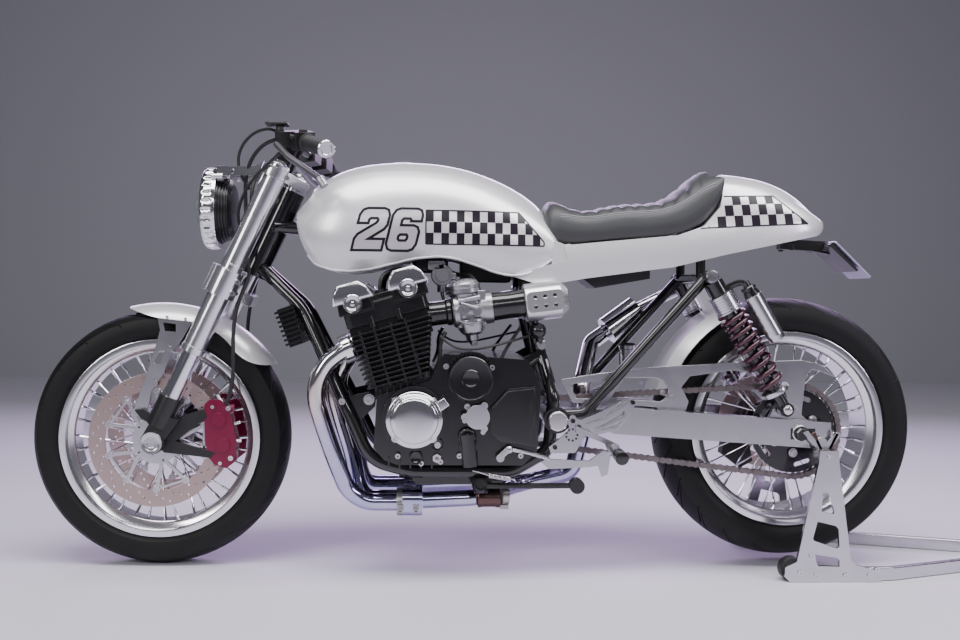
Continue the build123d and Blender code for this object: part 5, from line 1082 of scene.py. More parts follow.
def makePlugLeads():
    # plug caps between the cam boxes with their leads, coils under the tank and the wiring behind the head
    form = bmesh.new()
    for side in (-1, 1):
        for across in (152, 60):
            y = side * across
            addRod(form, at(541, y, 566), at(519, y, 636), 0.0125, 0.0105, 20)
            addRod(form, at(519, y, 634), at(514, y, 654), 0.0135, 0.0120, 20)
            addTube(form, [at(514, y, 648), at(512, y, 676), at(528, y * 0.8, 696), at(566, y * 0.5, 706),
                           at(620, y * 0.4, 712)], 0.0042, 10)
        addTube(form, [at(651, side * 186, 552), at(674, side * 190, 528), at(718, side * 192, 520),
                       at(785, side * 188, 533), at(853, side * 150, 552)], 0.0030, 8)
        addTube(form, [at(672, side * 60, 700), at(700, side * 70, 690), at(722, side * 120, 694),
                       at(735, side * 148, 668)], 0.0040, 8)
        addTube(form, [at(836, side * 128, 570), at(800, side * 150, 520), at(792, side * 160, 500),
                       at(770, side * 176, 470)], 0.0038, 8)
        addTube(form, [at(640, side * 176, 470), at(654, side * 182, 500), at(650, side * 180, 535),
                       at(664, side * 172, 560)], 0.0045, 8)
    for y in (-60, 60):
        addBlock(form, at(628, y, 712), (0.070, 0.034, 0.030), soft=0.004)
        addRod(form, at(586, y, 712), at(670, y, 712), 0.011, segments=18)
    addBlock(form, at(760, 0, 700), (0.120, 0.090, 0.050), soft=0.006)
    addBlock(form, at(800, -88, 470), (0.044, 0.030, 0.060), soft=0.004)
    return form


def makeFuelTap():
    # cast tap and its diaphragm behind the rear cam box, left
    form = bmesh.new()
    addRod(form, at(656, -62, 690), at(656, -92, 690), 0.026, 0.024, 28)
    addRod(form, at(656, -90, 690), at(656, -98, 690), 0.016, 0.015, 24)
    addRod(form, at(656, -76, 720), at(656, -76, 650), 0.011, segments=16)
    addBlock(form, at(642, -78, 712), (0.040, 0.028, 0.022), soft=0.003)
    addBlock(form, at(676, -80, 688), (0.026, 0.022, 0.018), soft=0.003)
    for angle in range(6):
        turn = math.radians(60 * angle)
        addScrew(form, at(656 + 21 * math.cos(turn), -92, 690 + 21 * math.sin(turn)), (0, -1, 0),
                 0.0028, 0.003, 8)
    addRod(form, at(656, -76, 650), at(660, -78, 632), 0.0045, 0.0035, 10)
    return form


settle("plugLeads", makePlugLeads(), "softRubber", "root")
settle("fuelTap", makeFuelTap(), "castAlloy", "root")

intakeTurn = Matrix.Rotation(math.radians(-7.5), 4, "Y")
intake = {"origin": at(660, 0, 603), "run": intakeTurn @ Vector((1, 0, 0)),
          "rise": intakeTurn @ Vector((0, 0, 1))}


def onIntake(along, y, above=0.0):
    return intake["origin"] + (intake["run"] * along + intake["rise"] * above + Vector((0, y, 0))) / 1000


carb = {
    "rows": (-150, -56, 56, 150),
    "bell": ((0, 0.022), (0, 0.034), (0.004, 0.0375), (0.014, 0.0375), (0.018, 0.034), (0.024, 0.031),
             (0.060, 0.031), (0.066, 0.036), (0.080, 0.037), (0.090, 0.036), (0.092, 0.030),
             (0.092, 0.022)),
    "cap": ((0, 0), (0, 0.026), (0.010, 0.028), (0.013, 0.0375), (0.021, 0.0375), (0.022, 0.036),
            (0.024, 0.0375), (0.031, 0.0375), (0.034, 0.034), (0.040, 0.030), (0.045, 0.018), (0.046, 0)),
    "bowl": ((0, 0), (0, 0.034), (0.004, 0.035), (0.008, 0.034), (0.009, 0.030), (0.028, 0.027),
             (0.033, 0.022),
             (0.036, 0.012), (0.048, 0.011), (0.050, 0.0075), (0.060, 0.0070), (0.060, 0)),
    "headRubber": ((0, 0.020), (0, 0.027), (0.010, 0.0285), (0.030, 0.0265), (0.056, 0.0265),
                   (0.060, 0.030),
                   (0.068, 0.030), (0.072, 0.024), (0.072, 0.020)),
    "podRubber": ((0, 0.024), (0, 0.0315), (0.004, 0.0325), (0.040, 0.0305), (0.070, 0.0325),
                  (0.076, 0.0320),
                  (0.076, 0.024)),
}


def addCarburettor(form, y):
    # bell, body, diaphragm cap, float bowl, linkage and jets of one carburettor
    side = -1 if y < 0 else 1
    run, rise = intake["run"], intake["rise"]
    addTurned(form, onIntake(20, y), run, carb["bell"], 40)
    addBlock(form, onIntake(56, y, 6), (0.046, 0.056, 0.052), intakeTurn, 0.005)
    addTurned(form, onIntake(52, y, 26), rise, carb["cap"], 40)
    for angle in range(4):
        turn = math.radians(45 + 90 * angle)
        place = onIntake(52 + 33 * math.cos(turn), y + 33 * math.sin(turn), 57)
        addScrew(form, place, rise, 0.0042, 0.005, 10)
    addTurned(form, onIntake(60, y, -22), -rise, carb["bowl"], 36)
    for shift in (-28, 28):
        addScrew(form, onIntake(60 + shift, y + side * 14, -24), rise, 0.0040, 0.008, 10)
        addRod(form, onIntake(60 + shift, y + side * 14, -38), onIntake(60 + shift, y + side * 14, -22),
               0.0048, segments=12)
    # outer face: jet tower, accelerator rod, return spring and lever
    face = y + side * 30
    addRod(form, onIntake(44, face - side * 8, 2), onIntake(44, face + side * 8, 2), 0.014, 0.013, 28)
    addScrew(form, onIntake(44, face + side * 8, 2), (0, side, 0), 0.006, 0.004)
    addRod(form, onIntake(74, face - side * 8, -6), onIntake(74, face + side * 5, -6), 0.010, segments=20)
    addScrew(form, onIntake(74, face + side * 5, -6), (0, side, 0), 0.0045, 0.004)
    addRod(form, onIntake(40, face + side * 4, 16), onIntake(76, face + side * 2, 2), 0.0042, segments=12)
    addRod(form, onIntake(36, face, 22), onIntake(84, face, 26), 0.0055, segments=14)
    addBlock(form, onIntake(88, face - side * 4, 30), (0.018, 0.012, 0.022), soft=0.002)
    addRod(form, onIntake(30, face - side * 2, -20), onIntake(62, face - side * 2, -34),
           0.0038, segments=10)
    for turn in range(7):
        addTurned(form, onIntake(50 + 3.2 * turn, face + side * 6, -18 - turn), run,
                  [(0, 0.0050), (0.0008, 0.0062), (0.0016, 0.0050)], 14)


def makeCarburettors():
    form = bmesh.new()
    for y in carb["rows"]:
        addCarburettor(form, y)
    addRod(form, onIntake(52, -150, 34), onIntake(52, 150, 34), 0.0065, segments=16)
    addRod(form, onIntake(70, -150, -12), onIntake(70, 150, -12), 0.0065, segments=16)
    return form


def makeIntakeRubbers():
    form = bmesh.new()
    for y in carb["rows"]:
        addTurned(form, onIntake(-52, y), intake["run"], carb["headRubber"], 36)
        addTurned(form, onIntake(108, y), intake["run"], carb["podRubber"], 40)
    return form


pods = {"rows": ((-156, 0.043), (-54, 0.040), (54, 0.040), (156, 0.043)), "start": 184}


def makePods():
    # spun shells with a raised plate of six holes on the outer side
    form = bmesh.new()
    for y, wide in pods["rows"]:
        addTurned(form, onIntake(pods["start"], y), intake["run"],
                  [(0, 0.024), (-0.001, wide - 0.004), (0.001, wide - 0.001), (0.004, wide), (0.078, wide),
                   (0.082, wide - 0.001), (0.0832, wide - 0.003), (0.098, wide - 0.016),
                   (0.100, wide - 0.019), (0.100, 0.0)], 64)
    for side in (-1, 1):
        turn = intakeTurn @ Matrix.Rotation(math.radians(90), 4, "X")
        centre = onIntake(228, side * 198.5, 0)
        corners = []
        for middleX, middleZ, first in ((30, 12, 0), (-30, 12, 90), (-30, -12, 180), (30, -12, 270)):
            for step in range(6):
                angle = math.radians(first + 18 * step)
                corners.append((middleX + 11 * math.cos(angle), middleZ + 11 * math.sin(angle)))
        holes = [circleLine(22.4 * column, 10.5 * row, 5.2, 16) for column in (-1, 0, 1) for row in (-1, 1)]
        addPlate(form, [corners] + holes, Matrix.Translation(centre) @ turn, 0.0026, 0.0006)
    return form


def makePodDark():
    # the dark mesh seen through the six holes
    form = bmesh.new()
    for side in (-1, 1):
        addBlock(form, onIntake(228, side * 197.2, 0), (0.066, 0.002, 0.034), intakeTurn, 0.0004)
    return form


settle("carbBodies", makeCarburettors(), "castAlloy", "root", ("carburettors",), 40)
settle("intakeRubbers", makeIntakeRubbers(), "gloss", "root")
settle("podShells", makePods(), "podAlloy", "root", ("pod_filters",), 40)
settle("podMesh", makePodDark(), "softRubber", "root")
soften("oil_cooler", "finBlack", 0.0008)


def makeFrameBolts():
    form = bmesh.new()
    for side in (-1, 1):
        for s, z in engine["plateBolts"]:
            addRod(form, at(s, side * 120, z), at(s, side * 126, z), 0.0125, segments=24)
            addScrew(form, at(s, side * 126, z), (0, side, 0), 0.0095, 0.007, 20)
        addScrew(form, at(431, side * 136, 399), (0, side, 0), 0.0080, 0.010, 20)
        addTurned(form, at(921, side * 168, 360), (0, side, 0),
                  [(-0.012, 0.0), (-0.012, 0.0225), (0.0, 0.0235), (0.006, 0.0225), (0.008, 0.0195),
                   (0.0085, 0.0)], 48)
        addTurned(form, at(884, side * 120, 532), (0, side, 0),
                  [(0, 0.0), (0, 0.012), (0.020, 0.012), (0.022, 0.010), (0.022, 0.0)], 30)
        addScrew(form, at(330, side * 76, 566), (0, side, 0), 0.007, 0.006)
    return form


def makeFrameKnobs():
    # breather knob behind each pod and the lines that run down from it
    form = bmesh.new()
    for side in (-1, 1):
        addBall(form, at(876, side * 140, 564), 0.020)
        addRod(form, at(876, side * 140, 564), at(884, side * 132, 532), 0.0095, segments=18)
        addTube(form, [at(892, side * 156, 500), at(902, side * 157, 470), at(898, side * 157, 430),
                       at(905, side * 156, 400)], 0.0050, 10)
        addRod(form, at(880, side * 118, 500), at(820, side * 118, 452), 0.006, segments=12)
    return form


settle("frameBolts", makeFrameBolts(), "brightBolt", "root")
settle("frameKnobs", makeFrameKnobs(), "gloss", "root")


# exhaust: joint clamps with their screws, port nuts
def makeExhaustClamps():
    form = bmesh.new()
    for side in (-1, 1):
        addRod(form, at(557, side * 112, 165), at(610, side * 112, 166), 0.0320, segments=40)
        for s in (566, 601):
            addScrew(form, at(s, side * 146, 152), (0, side, 0), 0.006, 0.010)
            addBlock(form, at(s, side * 138, 158), (0.014, 0.022, 0.014), soft=0.002)
        for across in (165, 55):
            for lift in (-1, 1):
                start = at(452, side * across, 524) + Vector((0.0106, 0, -0.0242)) * -lift
                addScrew(form, start, (-0.9135, 0, -0.4067), 0.0062, 0.022, 6)
    return form


def makeCoupling():
    form = bmesh.new()
    for side in (-1, 1):
        addTurned(form, at(744, side * 97, 172), (1, 0, 0.02),
                  [(0, 0.0185), (0, 0.0225), (0.003, 0.0240), (0.010, 0.0225), (0.040, 0.0225),
                   (0.044, 0.0245), (0.052, 0.0245), (0.053, 0.0185)], 40)
    dull = set(form.faces)
    for side in (-1, 1):
        addTurned(form, at(800, side * 80, 174), (1, -0.2 * side, 0.02),
                  [(0, 0.019), (0, 0.0225), (0.016, 0.0225), (0.016, 0.019)], 36)
        for s in (803, 812):
            addRod(form, at(s, side * 84, 146), at(s, side * 84, 196), 0.0040, segments=12)
        addBlock(form, at(808, side * 84, 148), (0.020, 0.014, 0.010), soft=0.001)
    paint(form, dull)
    return form


soften("exhaust_headers", "headerChrome", 0.0006, flat=0.2)
soften("silencer", "headerChrome", 0.0012, flat=0.2)
settle("exhaustClamps", makeExhaustClamps(), "steel", "root")
settle("coupling", makeCoupling(), ("bronze", "steel"), "root")
print("engine dressed")

# bodywork: tank and tail with their number and checks, seat with rolls and piping
decals = {
    "number": {"low": (448, 743), "high": (614, 839), "text": "26", "slant": 0.24, "between": 7},
    "tankChecks": {"origin": (617, 759), "tilt": 0.0, "cell": (17.6, 25.6), "rows": 3, "columns": 16,
                   "edge": ((617, 759), (890, 759), (890, 768), (832, 836), (617, 836))},
    "tailChecks": {"origin": (1256, 806), "tilt": 3.5, "cell": (20.5, 25.8), "rows": 3, "columns": 14,
                   "edge": ((1256, 806), (1519, 822), (1439, 888), (1310, 883))},
    "lift": 0.0006, "facet": 0.010,
}


def surfaceOf(*names):
    form = bmesh.new()
    for name in names:
        form.from_mesh(nodes[name].data)
    tree = BVHTree.FromBMesh(form)
    form.free()
    return tree


def wrapOn(form, surface, side, lift):
    # cuts flat shapes into small facets and lays them on the surface, seen from that side
    for axis in (0, 2):
        places = [vert.co[axis] for vert in form.verts]
        level = min(places) + decals["facet"]
        while level < max(places):
            sliceAt(form, axis, level)
            level += decals["facet"]
    lost = []
    for vert in form.verts:
        hit = surface.ray_cast(Vector((vert.co.x, side * 0.5, vert.co.z)), (0, -side, 0))[0]
        if hit is None:
            lost.append(vert)
        else:
            vert.co = hit + Vector((0, side, 0)) * lift
    bmesh.ops.delete(form, geom=lost, context="VERTS")
    bmesh.ops.recalc_face_normals(form, faces=form.faces)
    outwards = sum(face.normal.y * side * face.calc_area() for face in form.faces)
    if outwards < 0:
        bmesh.ops.reverse_faces(form, faces=form.faces)


digits = {
    "2": (((0, 64), (0, 84), (8, 96), (22, 100), (78, 100), (92, 96), (100, 84), (100, 60), (92, 50),
           (48, 27), (100, 27), (100, 0), (0, 0), (0, 27), (8, 38), (60, 64), (65, 69), (65, 73),
           (61, 76), (40, 76), (35, 72), (35, 64)),),
    "6": (((22, 100), (78, 100), (92, 96), (100, 84), (100, 70), (65, 70), (65, 73), (61, 76),
           (40, 76), (35, 72), (35, 60), (78, 60), (92, 56), (100, 45), (100, 16), (92, 4), (78, 0),
           (22, 0), (8, 4), (0, 16), (0, 84), (8, 96)),
          ((40, 38), (61, 38), (65, 34), (65, 28), (61, 24), (40, 24), (35, 28), (35, 34))),
}


def makeNumber(side, grow, lift):
    # slanting block figures in the box of the number, turned round on the right so that they read there too
    box = decals["number"]
    left, right = box["low"][0], box["high"][0]
    tall = box["high"][1] - box["low"][1]
    wide = (right - left - box["slant"] * tall - box["between"]) / 2
    curve = bpy.data.curves.new("number", "CURVE")
    curve.dimensions = "2D"
    curve.fill_mode = "BOTH"
    curve.offset = grow
    for count, figure in enumerate(box["text"]):
        for outline in digits[figure]:
            line = curve.splines.new("POLY")
            line.points.add(len(outline) - 1)
            for point, (across, up) in zip(line.points, outline):
                s = left + count * (wide + box["between"])
                s += (across * wide + box["slant"] * up * tall) / 100
                s = left + right - s if side > 0 else s
                point.co = (s / 1000, (box["low"][1] + up * tall / 100) / 1000, 0, 1)
            line.use_cyclic_u = True
    form = bmesh.new()
    takeCurve(form, curve, Matrix.Translation(at(0, 0, 0)) @ Matrix.Rotation(math.pi / 2, 4, "X"))
    wrapOn(form, tankSurface, side, lift)
    return form


def clipTo(form, edge):
    # keeps only what lies inside a convex outline drawn anticlockwise
    for first, last in zip(edge, edge[1:] + edge[:1]):
        run = Vector((last[0] - first[0], 0, last[1] - first[1]))
        outward = Vector((run.z, 0, -run.x)).normalized()
        bmesh.ops.bisect_plane(form, geom=form.verts[:] + form.edges[:] + form.faces[:],
                               plane_co=at(first[0], 0, first[1]), plane_no=outward,
                               clear_outer=True, dist=0.00001)


def makeChecks(key, surface, side):
    checks = decals[key]
    form = bmesh.new()
    tilt = math.radians(checks["tilt"])
    along, up = Vector((math.cos(tilt), 0, math.sin(tilt))), Vector((-math.sin(tilt), 0, math.cos(tilt)))
    start = at(checks["origin"][0], 0, checks["origin"][1])
    wide, tall = (size / 1000 for size in checks["cell"])
    for row in range(checks["rows"]):
        for column in range(-3, checks["columns"]):
            if (row + column) % 2:
                continue
            corner = start + along * wide * column + up * tall * row
            form.faces.new([form.verts.new(corner + along * right + up * high)
                            for right, high in ((0, 0), (wide, 0), (wide, tall), (0, tall))])
    clipTo(form, checks["edge"])
    for first, last in zip(checks["edge"], checks["edge"][1:] + checks["edge"][:1]):
        start, end = at(first[0], 0, first[1]), at(last[0], 0, last[1])
        aside = (end - start).normalized().cross(Vector((0, 1, 0))) * 0.0016
        form.faces.new([form.verts.new(place)
                        for place in (start - aside, end - aside, end + aside, start + aside)])
    wrapOn(form, surface, side, decals["lift"])
    return form


tankSurface = surfaceOf("fuel_tank")
tailSurface = surfaceOf("tail_unit")
for side, label in ((-1, "Left"), (1, "Right")):
    settle("tankChecks" + label, makeChecks("tankChecks", tankSurface, side), "decalBlack", "root")
    settle("tailChecks" + label, makeChecks("tailChecks", tailSurface, side), "decalBlack", "root")
    settle("numberEdge" + label, makeNumber(side, 0.0030, 0.0006), "decalBlack", "root")
    settle("numberFace" + label, makeNumber(side, -0.0030, 0.0010), "decalSilver", "root")


def lowerEdge(surface, side, first, last, step):
    # where the side of the bodywork ends below, found by looking from that side
    points = []
    s = first
    while s <= last:
        height = 640
        while height < 900:
            hit = surface.ray_cast(at(s, side * 500, height), (0, -side, 0))[0]
            if hit:
                points.append(hit + Vector((0, side * -0.001, 0.0015)))
                break
            height += 1.5
        s += step
    return points


def makeTankSeam():
    form = bmesh.new()
    for side in (-1, 1):
        addTube(form, lowerEdge(tankSurface, side, 345, 925, 14), 0.0034, 12, 4)
    top, normal = tankSurface.ray_cast(at(560, 0, 1200), (0, 0, -1))[:2]
    addTurned(form, top - normal * 0.005, normal, [(0, 0), (0, 0.027), (0.0046, 0.027), (0.0052, 0.025),
                                                   (0.0052, 0.018), (0.0042, 0.017), (0.0046, 0.005),
                                                   (0.0046, 0)], 48)
    return form


def makeTailCorners():
    # front corners of the tail's side panels, that close on the tank
    form = bmesh.new()
    corner = [(908, 706), (926, 701), (950, 720), (950, 764), (938, 762), (926, 767),
              (915, 770), (910, 716)]
    for side in (-1, 1):
        addSidePlate(form, side * 112, 9, [corner], 0.0016)
    return form


settle("tankSeam", makeTankSeam(), "satinSilver", "root")
settle("tailCorners", makeTailCorners(), "satinSilver", "root")

seat = {"first": 955, "last": 1262, "rolls": 10, "half": 0.092, "depth": 0.0050, "seam": 95,
        "shoulder": 0.012, "crest": (1290, 0.933, 8),
        "cuts": ((0, -0.030, 0.400, 0.0055), (1, -0.108, 0.109, 0.012), (2, 0.770, 0.950, 0.020))}
seatSurface = surfaceOf("seat")


def makeSeat():
    # the pad cut fine, its middle pressed into rolls across
    form = copyNode("seat", 0.5)
    for axis, level, last, step in seat["cuts"]:
        while level < last:
            sliceAt(form, axis, level)
            level += step
    form.normal_update()
    moves = {}
    pitch = (seat["last"] - seat["first"]) / seat["rolls"]
    crest, crestTop, fall = seat["crest"]      # the seat's back is rounded down behind its crest
    for vert in form.verts:
        s = vert.co.x * 1000 + 925
        if s > crest:
            vert.co.z = min(vert.co.z, crestTop - fall * ((s - crest) / 1000) ** 2)
        if vert.normal.z < 0.2:
            continue
        edge = 1 - min(1, max(0, (abs(vert.co.y) - seat["half"] + seat["shoulder"]) / seat["shoulder"]))
        along = (s - seat["first"]) / pitch
        share = min(1, max(0, along + 0.4), max(0, seat["rolls"] + 0.4 - along))
        roll = abs(math.sin(math.pi * along)) ** 0.6
        moves[vert] = vert.normal * seat["depth"] * (roll - 0.75) * edge * max(0, share)
    for vert, move in moves.items():
        vert.co += move
    return form


def seatLine(side, across):
    points = []
    for step in range(37):
        s = 930 + step * 10.2
        hit = seatSurface.ray_cast(at(s, side * across, 1200), (0, 0, -1))[0]
        if hit:
            points.append(hit + Vector((0, 0, 0.0004)))
    return points


def makePiping():
    form = bmesh.new()
    for side in (-1, 1):
        addTube(form, seatLine(side, seat["seam"]), 0.0013, 8, 4)
        addTube(form, seatLine(side, seat["seam"] + 3), 0.0009, 8, 4)
    return form


pad = settle("seatPad", makeSeat(), "leather", "root", ("seat",), 50)
settle("seatPiping", makePiping(), "thread", "root")
soften("tail_unit", "satinSilver", 0.0018)
soften("seat_pan", "blackPlastic", 0.002)
soften("number_plate", "plateMetal", 0.0008)
soften("plate_bracket", "satinBlack", 0.0012)


def makeTailTrim():
    # two small lamps and the bolts of the plate under the tail
    form = bmesh.new()
    for side in (-1, 1):
        addRod(form, at(1572, side * 52, 772), at(1584, side * 52, 768), 0.010, 0.008, 20)
        addScrew(form, at(1612, side * 30, 752), (0.5, 0, 0.86), 0.0045, 0.004)
        addRod(form, at(1500, side * 40, 762), at(1500, side * 40, 776), 0.006, segments=14)
    return form


settle("tailTrim", makeTailTrim(), "satinBlack", "root")
print("bodywork dressed")

# rear end: chain, sprocket, swingarm, dampers, foot controls and both stands
drive = {"pitch": 15.875, "rearTeeth": 43, "frontTeeth": 18, "front": (812, 354), "rear": (1486, 334),
         "offset": -105}


def chainPins():
    # even places along the pitch line of both sprockets, and the direction of the chain there
    rearRadius = drive["pitch"] / 2 / math.sin(math.pi / drive["rearTeeth"])
    frontRadius = drive["pitch"] / 2 / math.sin(math.pi / drive["frontTeeth"])
    run = Vector(drive["rear"]) - Vector(drive["front"])
    lean = math.atan2(run.y, run.x)
    wrap = math.acos((frontRadius - rearRadius) / run.length)
    straight = math.sqrt(run.length ** 2 - (rearRadius - frontRadius) ** 2)
    parts = [("line", "front", lean + wrap, frontRadius, straight),
             ("arc", "rear", lean + wrap, rearRadius, 2 * wrap),
             ("line", "rear", lean - wrap, rearRadius, straight),
             ("arc", "front", lean - wrap, frontRadius, 2 * (math.pi - wrap))]
    lengths = [amount if kind == "line" else amount * radius
               for kind, centre, angle, radius, amount in parts]
    links = 2 * round(sum(lengths) / drive["pitch"] / 2)
    step = sum(lengths) / links
    pins = []
    for link in range(links):
        far = link * step
        for (kind, centre, angle, radius, amount), length in zip(parts, lengths):
            if far > length:
                far -= length
                continue
            middle = Vector(drive[centre])
            outward = Vector((math.cos(angle), math.sin(angle)))
            if kind == "line":
                # the run leaves the sprocket at a right angle to its radius
                along = Vector((outward.y, -outward.x))
                pins.append((middle + outward * radius + along * far))
            else:
                turn = angle - far / radius
                pins.append(middle + Vector((math.cos(turn), math.sin(turn))) * radius)
            break
    return pins


def addLink(form, first, last, y, wide):
    # one side plate: two round ends and a waist
    run = (last - first)
    angle = math.atan2(run.y, run.x)
    outline = []
    for centre, start in ((last, -90), (first, 90)):
        for step in range(5):
            turn = angle + math.radians(start + 45 * step)
            outline.append(centre + Vector((math.cos(turn), math.sin(turn))) * 7.2)
        middle = (first + last) / 2
        waist = angle + math.radians(start + 180)
        outline.append(middle + Vector((math.cos(waist), math.sin(waist))) * 4.9)
    near = [form.verts.new(at(point.x, y - wide / 2, point.y)) for point in outline]
    far = [form.verts.new(at(point.x, y + wide / 2, point.y)) for point in outline]
    form.faces.new(near)
    form.faces.new(list(reversed(far)))
    for index in range(len(outline)):
        follow = (index + 1) % len(outline)
        form.faces.new((near[index], far[index], far[follow], near[follow]))


def makeChain():
    form = bmesh.new()
    pins = chainPins()
    middle = drive["offset"]
    for index, (first, last) in enumerate(zip(pins, pins[1:] + pins[:1])):
        reach = 7.6 if index % 2 else 5.2
        for side in (-1, 1):
            addLink(form, first, last, middle + side * reach, 1.9)
        addRod(form, at(first.x, middle - 4.2, first.y), at(first.x, middle + 4.2, first.y),
               0.0050, segments=8)
        addRod(form, at(first.x, middle - 10, first.y), at(first.x, middle + 10, first.y),
               0.0026, segments=8)
    bmesh.ops.recalc_face_normals(form, faces=form.faces)
    return form


settle("chainLinks", makeChain(), "chainBronze", "root", ("chain",), 30)


def trimSprocket(form):
    steel = set(form.faces)
    for index in range(6):
        angle = math.radians(30 + 60 * index)
        place = at(1486 + 52 * math.cos(angle), -110, 334 + 52 * math.sin(angle))
        addRod(form, place, place + Vector((0, -0.004, 0)), 0.0105, segments=24)
        addScrew(form, place + Vector((0, -0.004, 0)), (0, -1, 0), 0.0088, 0.008, 6)
    paint(form, steel)


soften("rear_sprocket", ("gloss", "brightBolt"), 0.0006, extra=trimSprocket)
soften("rear_disc", "discSteel", 0.0005, flat=0.2)


def trimSwingarm(form):
    bolts = set(form.faces)
    for side in (-1, 1):
        addRod(form, at(1558, side * 137, 330), at(1582, side * 137, 330), 0.0050, segments=16)
        addRod(form, at(1560, side * 137, 330), at(1568, side * 137, 330), 0.0105, segments=6)
        addTurned(form, at(1451.5, side * 166, 389), (0, side, 0),
                  [(0, 0), (0, 0.0105), (0.008, 0.0105), (0.010, 0.008), (0.010, 0)], 30)
        addScrew(form, at(1170, side * 120, 424), (0, side, 0), 0.006, 0.005)
        addTurned(form, at(1530, side * 154, 313), (0, side, 0),
                  [(0, 0), (0, 0.014), (0.018, 0.0145), (0.020, 0.013), (0.020, 0.006), (0.014, 0.005),
                   (0.014, 0)], 36)
    paint(form, bolts)


def makeAxleSlots():
    # black slots of the rear axle and its nut
    form = bmesh.new()
    for side in (-1, 1):
        addBlock(form, at(1494, side * 154.4, 332), (0.058, 0.002, 0.026), soft=0.0008)
        addRod(form, at(1486, side * 154, 334), at(1486, side * 166, 334), 0.0170, segments=36)
        addTurned(form, at(1486, side * 166, 334), (0, side, 0),
                  [(0, 0.0), (0, 0.0150), (0.005, 0.0145), (0.008, 0.0110), (0.008, 0.0)], 6)
    return form


soften("swingarm", ("brushedAlloy", "brightBolt"), 0.0028, extra=trimSwingarm)
settle("axleSlots", makeAxleSlots(), "gloss", "root")


def trimGuard(form):
    for s, z in ((1195, 411), (1500, 356)):
        addRod(form, at(s, -116, z), at(s, -123, z), 0.012, segments=28)
        addScrew(form, at(s, -123, z), (0, -1, 0), 0.007, 0.004, 20)


soften("chain_guard", "brushedAlloy", 0.0012, extra=trimGuard)
soften("hugger", "satinSilver", 0.0008, flat=0.2)
soften("rear_axle_shaft", "brightBolt", 0.0025)

damper = {
    "top": (1270, 692), "foot": (1451.5, 389), "offset": 155, "reservoir": (1362, 168, 656),
    "turns": 9.5, "coilTop": 0.094, "coilFoot": 0.058, "coilRadius": 0.0285, "wire": 0.0056,
    "eye": ((0, 0.008), (0, 0.0155), (0.002, 0.0165), (0.026, 0.0165), (0.028, 0.0155), (0.028, 0.008)),
    "clicker": ((0, 0), (0, 0.016), (0.002, 0.0175), (0.008, 0.0175), (0.009, 0.0155), (0.011, 0.0155),
                (0.012, 0.0175), (0.024, 0.0190), (0.024, 0)),
    "can": ((0, 0), (0, 0.0195), (0.002, 0.0205), (0.104, 0.0205), (0.106, 0.0195), (0.110, 0.0190),
            (0.116, 0.0180), (0.116, 0.0)),
    "seat": ((0, 0.013), (0, 0.0325), (0.004, 0.0335), (0.010, 0.0325), (0.014, 0.022), (0.014, 0.013)),
    "cap": ((0, 0), (0, 0.0145), (0.006, 0.0150), (0.010, 0.0125), (0.011, 0)),
}


def damperLine(side):
    # top eye of one damper, the direction down to its foot, and the distance between its eyes
    top, foot = (at(s, side * damper["offset"], z) for s, z in (damper["top"], damper["foot"]))
    return top, (foot - top).normalized(), (foot - top).length


def makeDampers():
    # black body with its collar, bright rod end rings, silver reservoir with a black cap and clicker
    form = bmesh.new()
    for side in (-1, 1):
        top, run, length = damperLine(side)
        for start, end, radius in ((0.012, 0.046, 0.022), (0.088, 0.170, 0.020),
                                   (0.168, length - 0.052, 0.013), (length - 0.040, length - 0.011, 0.014)):
            addTurned(form, top + run * start, run, drum(0, end - start, radius, 0.001), 36)
        for centre in (top, top + run * length):
            addTurned(form, centre + Vector((0, -0.014, 0)), (0, 1, 0), damper["eye"], 36)
        rest = at(damper["reservoir"][0], side * damper["reservoir"][1], damper["reservoir"][2])
        addTurned(form, rest - run * 0.018, run, damper["clicker"], 36)
        addTube(form, [top + run * 0.040, top + run * 0.030 + Vector((0.040, side * 0.006, 0.012)),
                       rest - run * 0.030, rest - run * 0.012], 0.0072, 14, 8)
        addRod(form, rest - run * 0.030, rest - run * 0.016, 0.009, segments=18)
    dark = set(form.faces)
    for side in (-1, 1):
        top, run, length = damperLine(side)
        rest = at(damper["reservoir"][0], side * damper["reservoir"][1], damper["reservoir"][2])
        addTurned(form, rest + run * 0.006, run, damper["can"], 48)
        rings = [(0, 0.012), (0, 0.030)]
        for ring in range(6):
            along = 0.001 + 0.0065 * ring
            rings += [(along, 0.0315), (along + 0.0042, 0.0315), (along + 0.0046, 0.0290),
                      (along + 0.0062, 0.0290)]
        rings += [(0.041, 0.033), (0.044, 0.033), (0.044, 0.012)]
        addTurned(form, top + run * 0.046, run, rings, 48)
        addTurned(form, top + run * (length - 0.054), run, damper["seat"], 48)
        addTurned(form, at(damper["top"][0], side * 169, damper["top"][1]), (0, side, 0), damper["cap"], 36)
    paint(form, dark)
    return form


settle("dampers", makeDampers(), ("gloss", "brushedAlloy"), "root", ("shock_bodies",), 36)


def makeSprings():
    # steel wire wound round each damper, closer together at the top
    form = bmesh.new()
    for side in (-1, 1):
        top, run, length = damperLine(side)
        wound = length - damper["coilTop"] - damper["coilFoot"]
        line = windCoil(top, run, damper["coilRadius"], damper["turns"], 14,
                        lambda share: damper["coilTop"] + wound * (0.72 * share + 0.28 * share ** 2))
        addTube(form, line, damper["wire"], 12, 3)
    return form


settle("coilSprings", makeSprings(), "springPaint", "root", ("shock_springs",), 60)


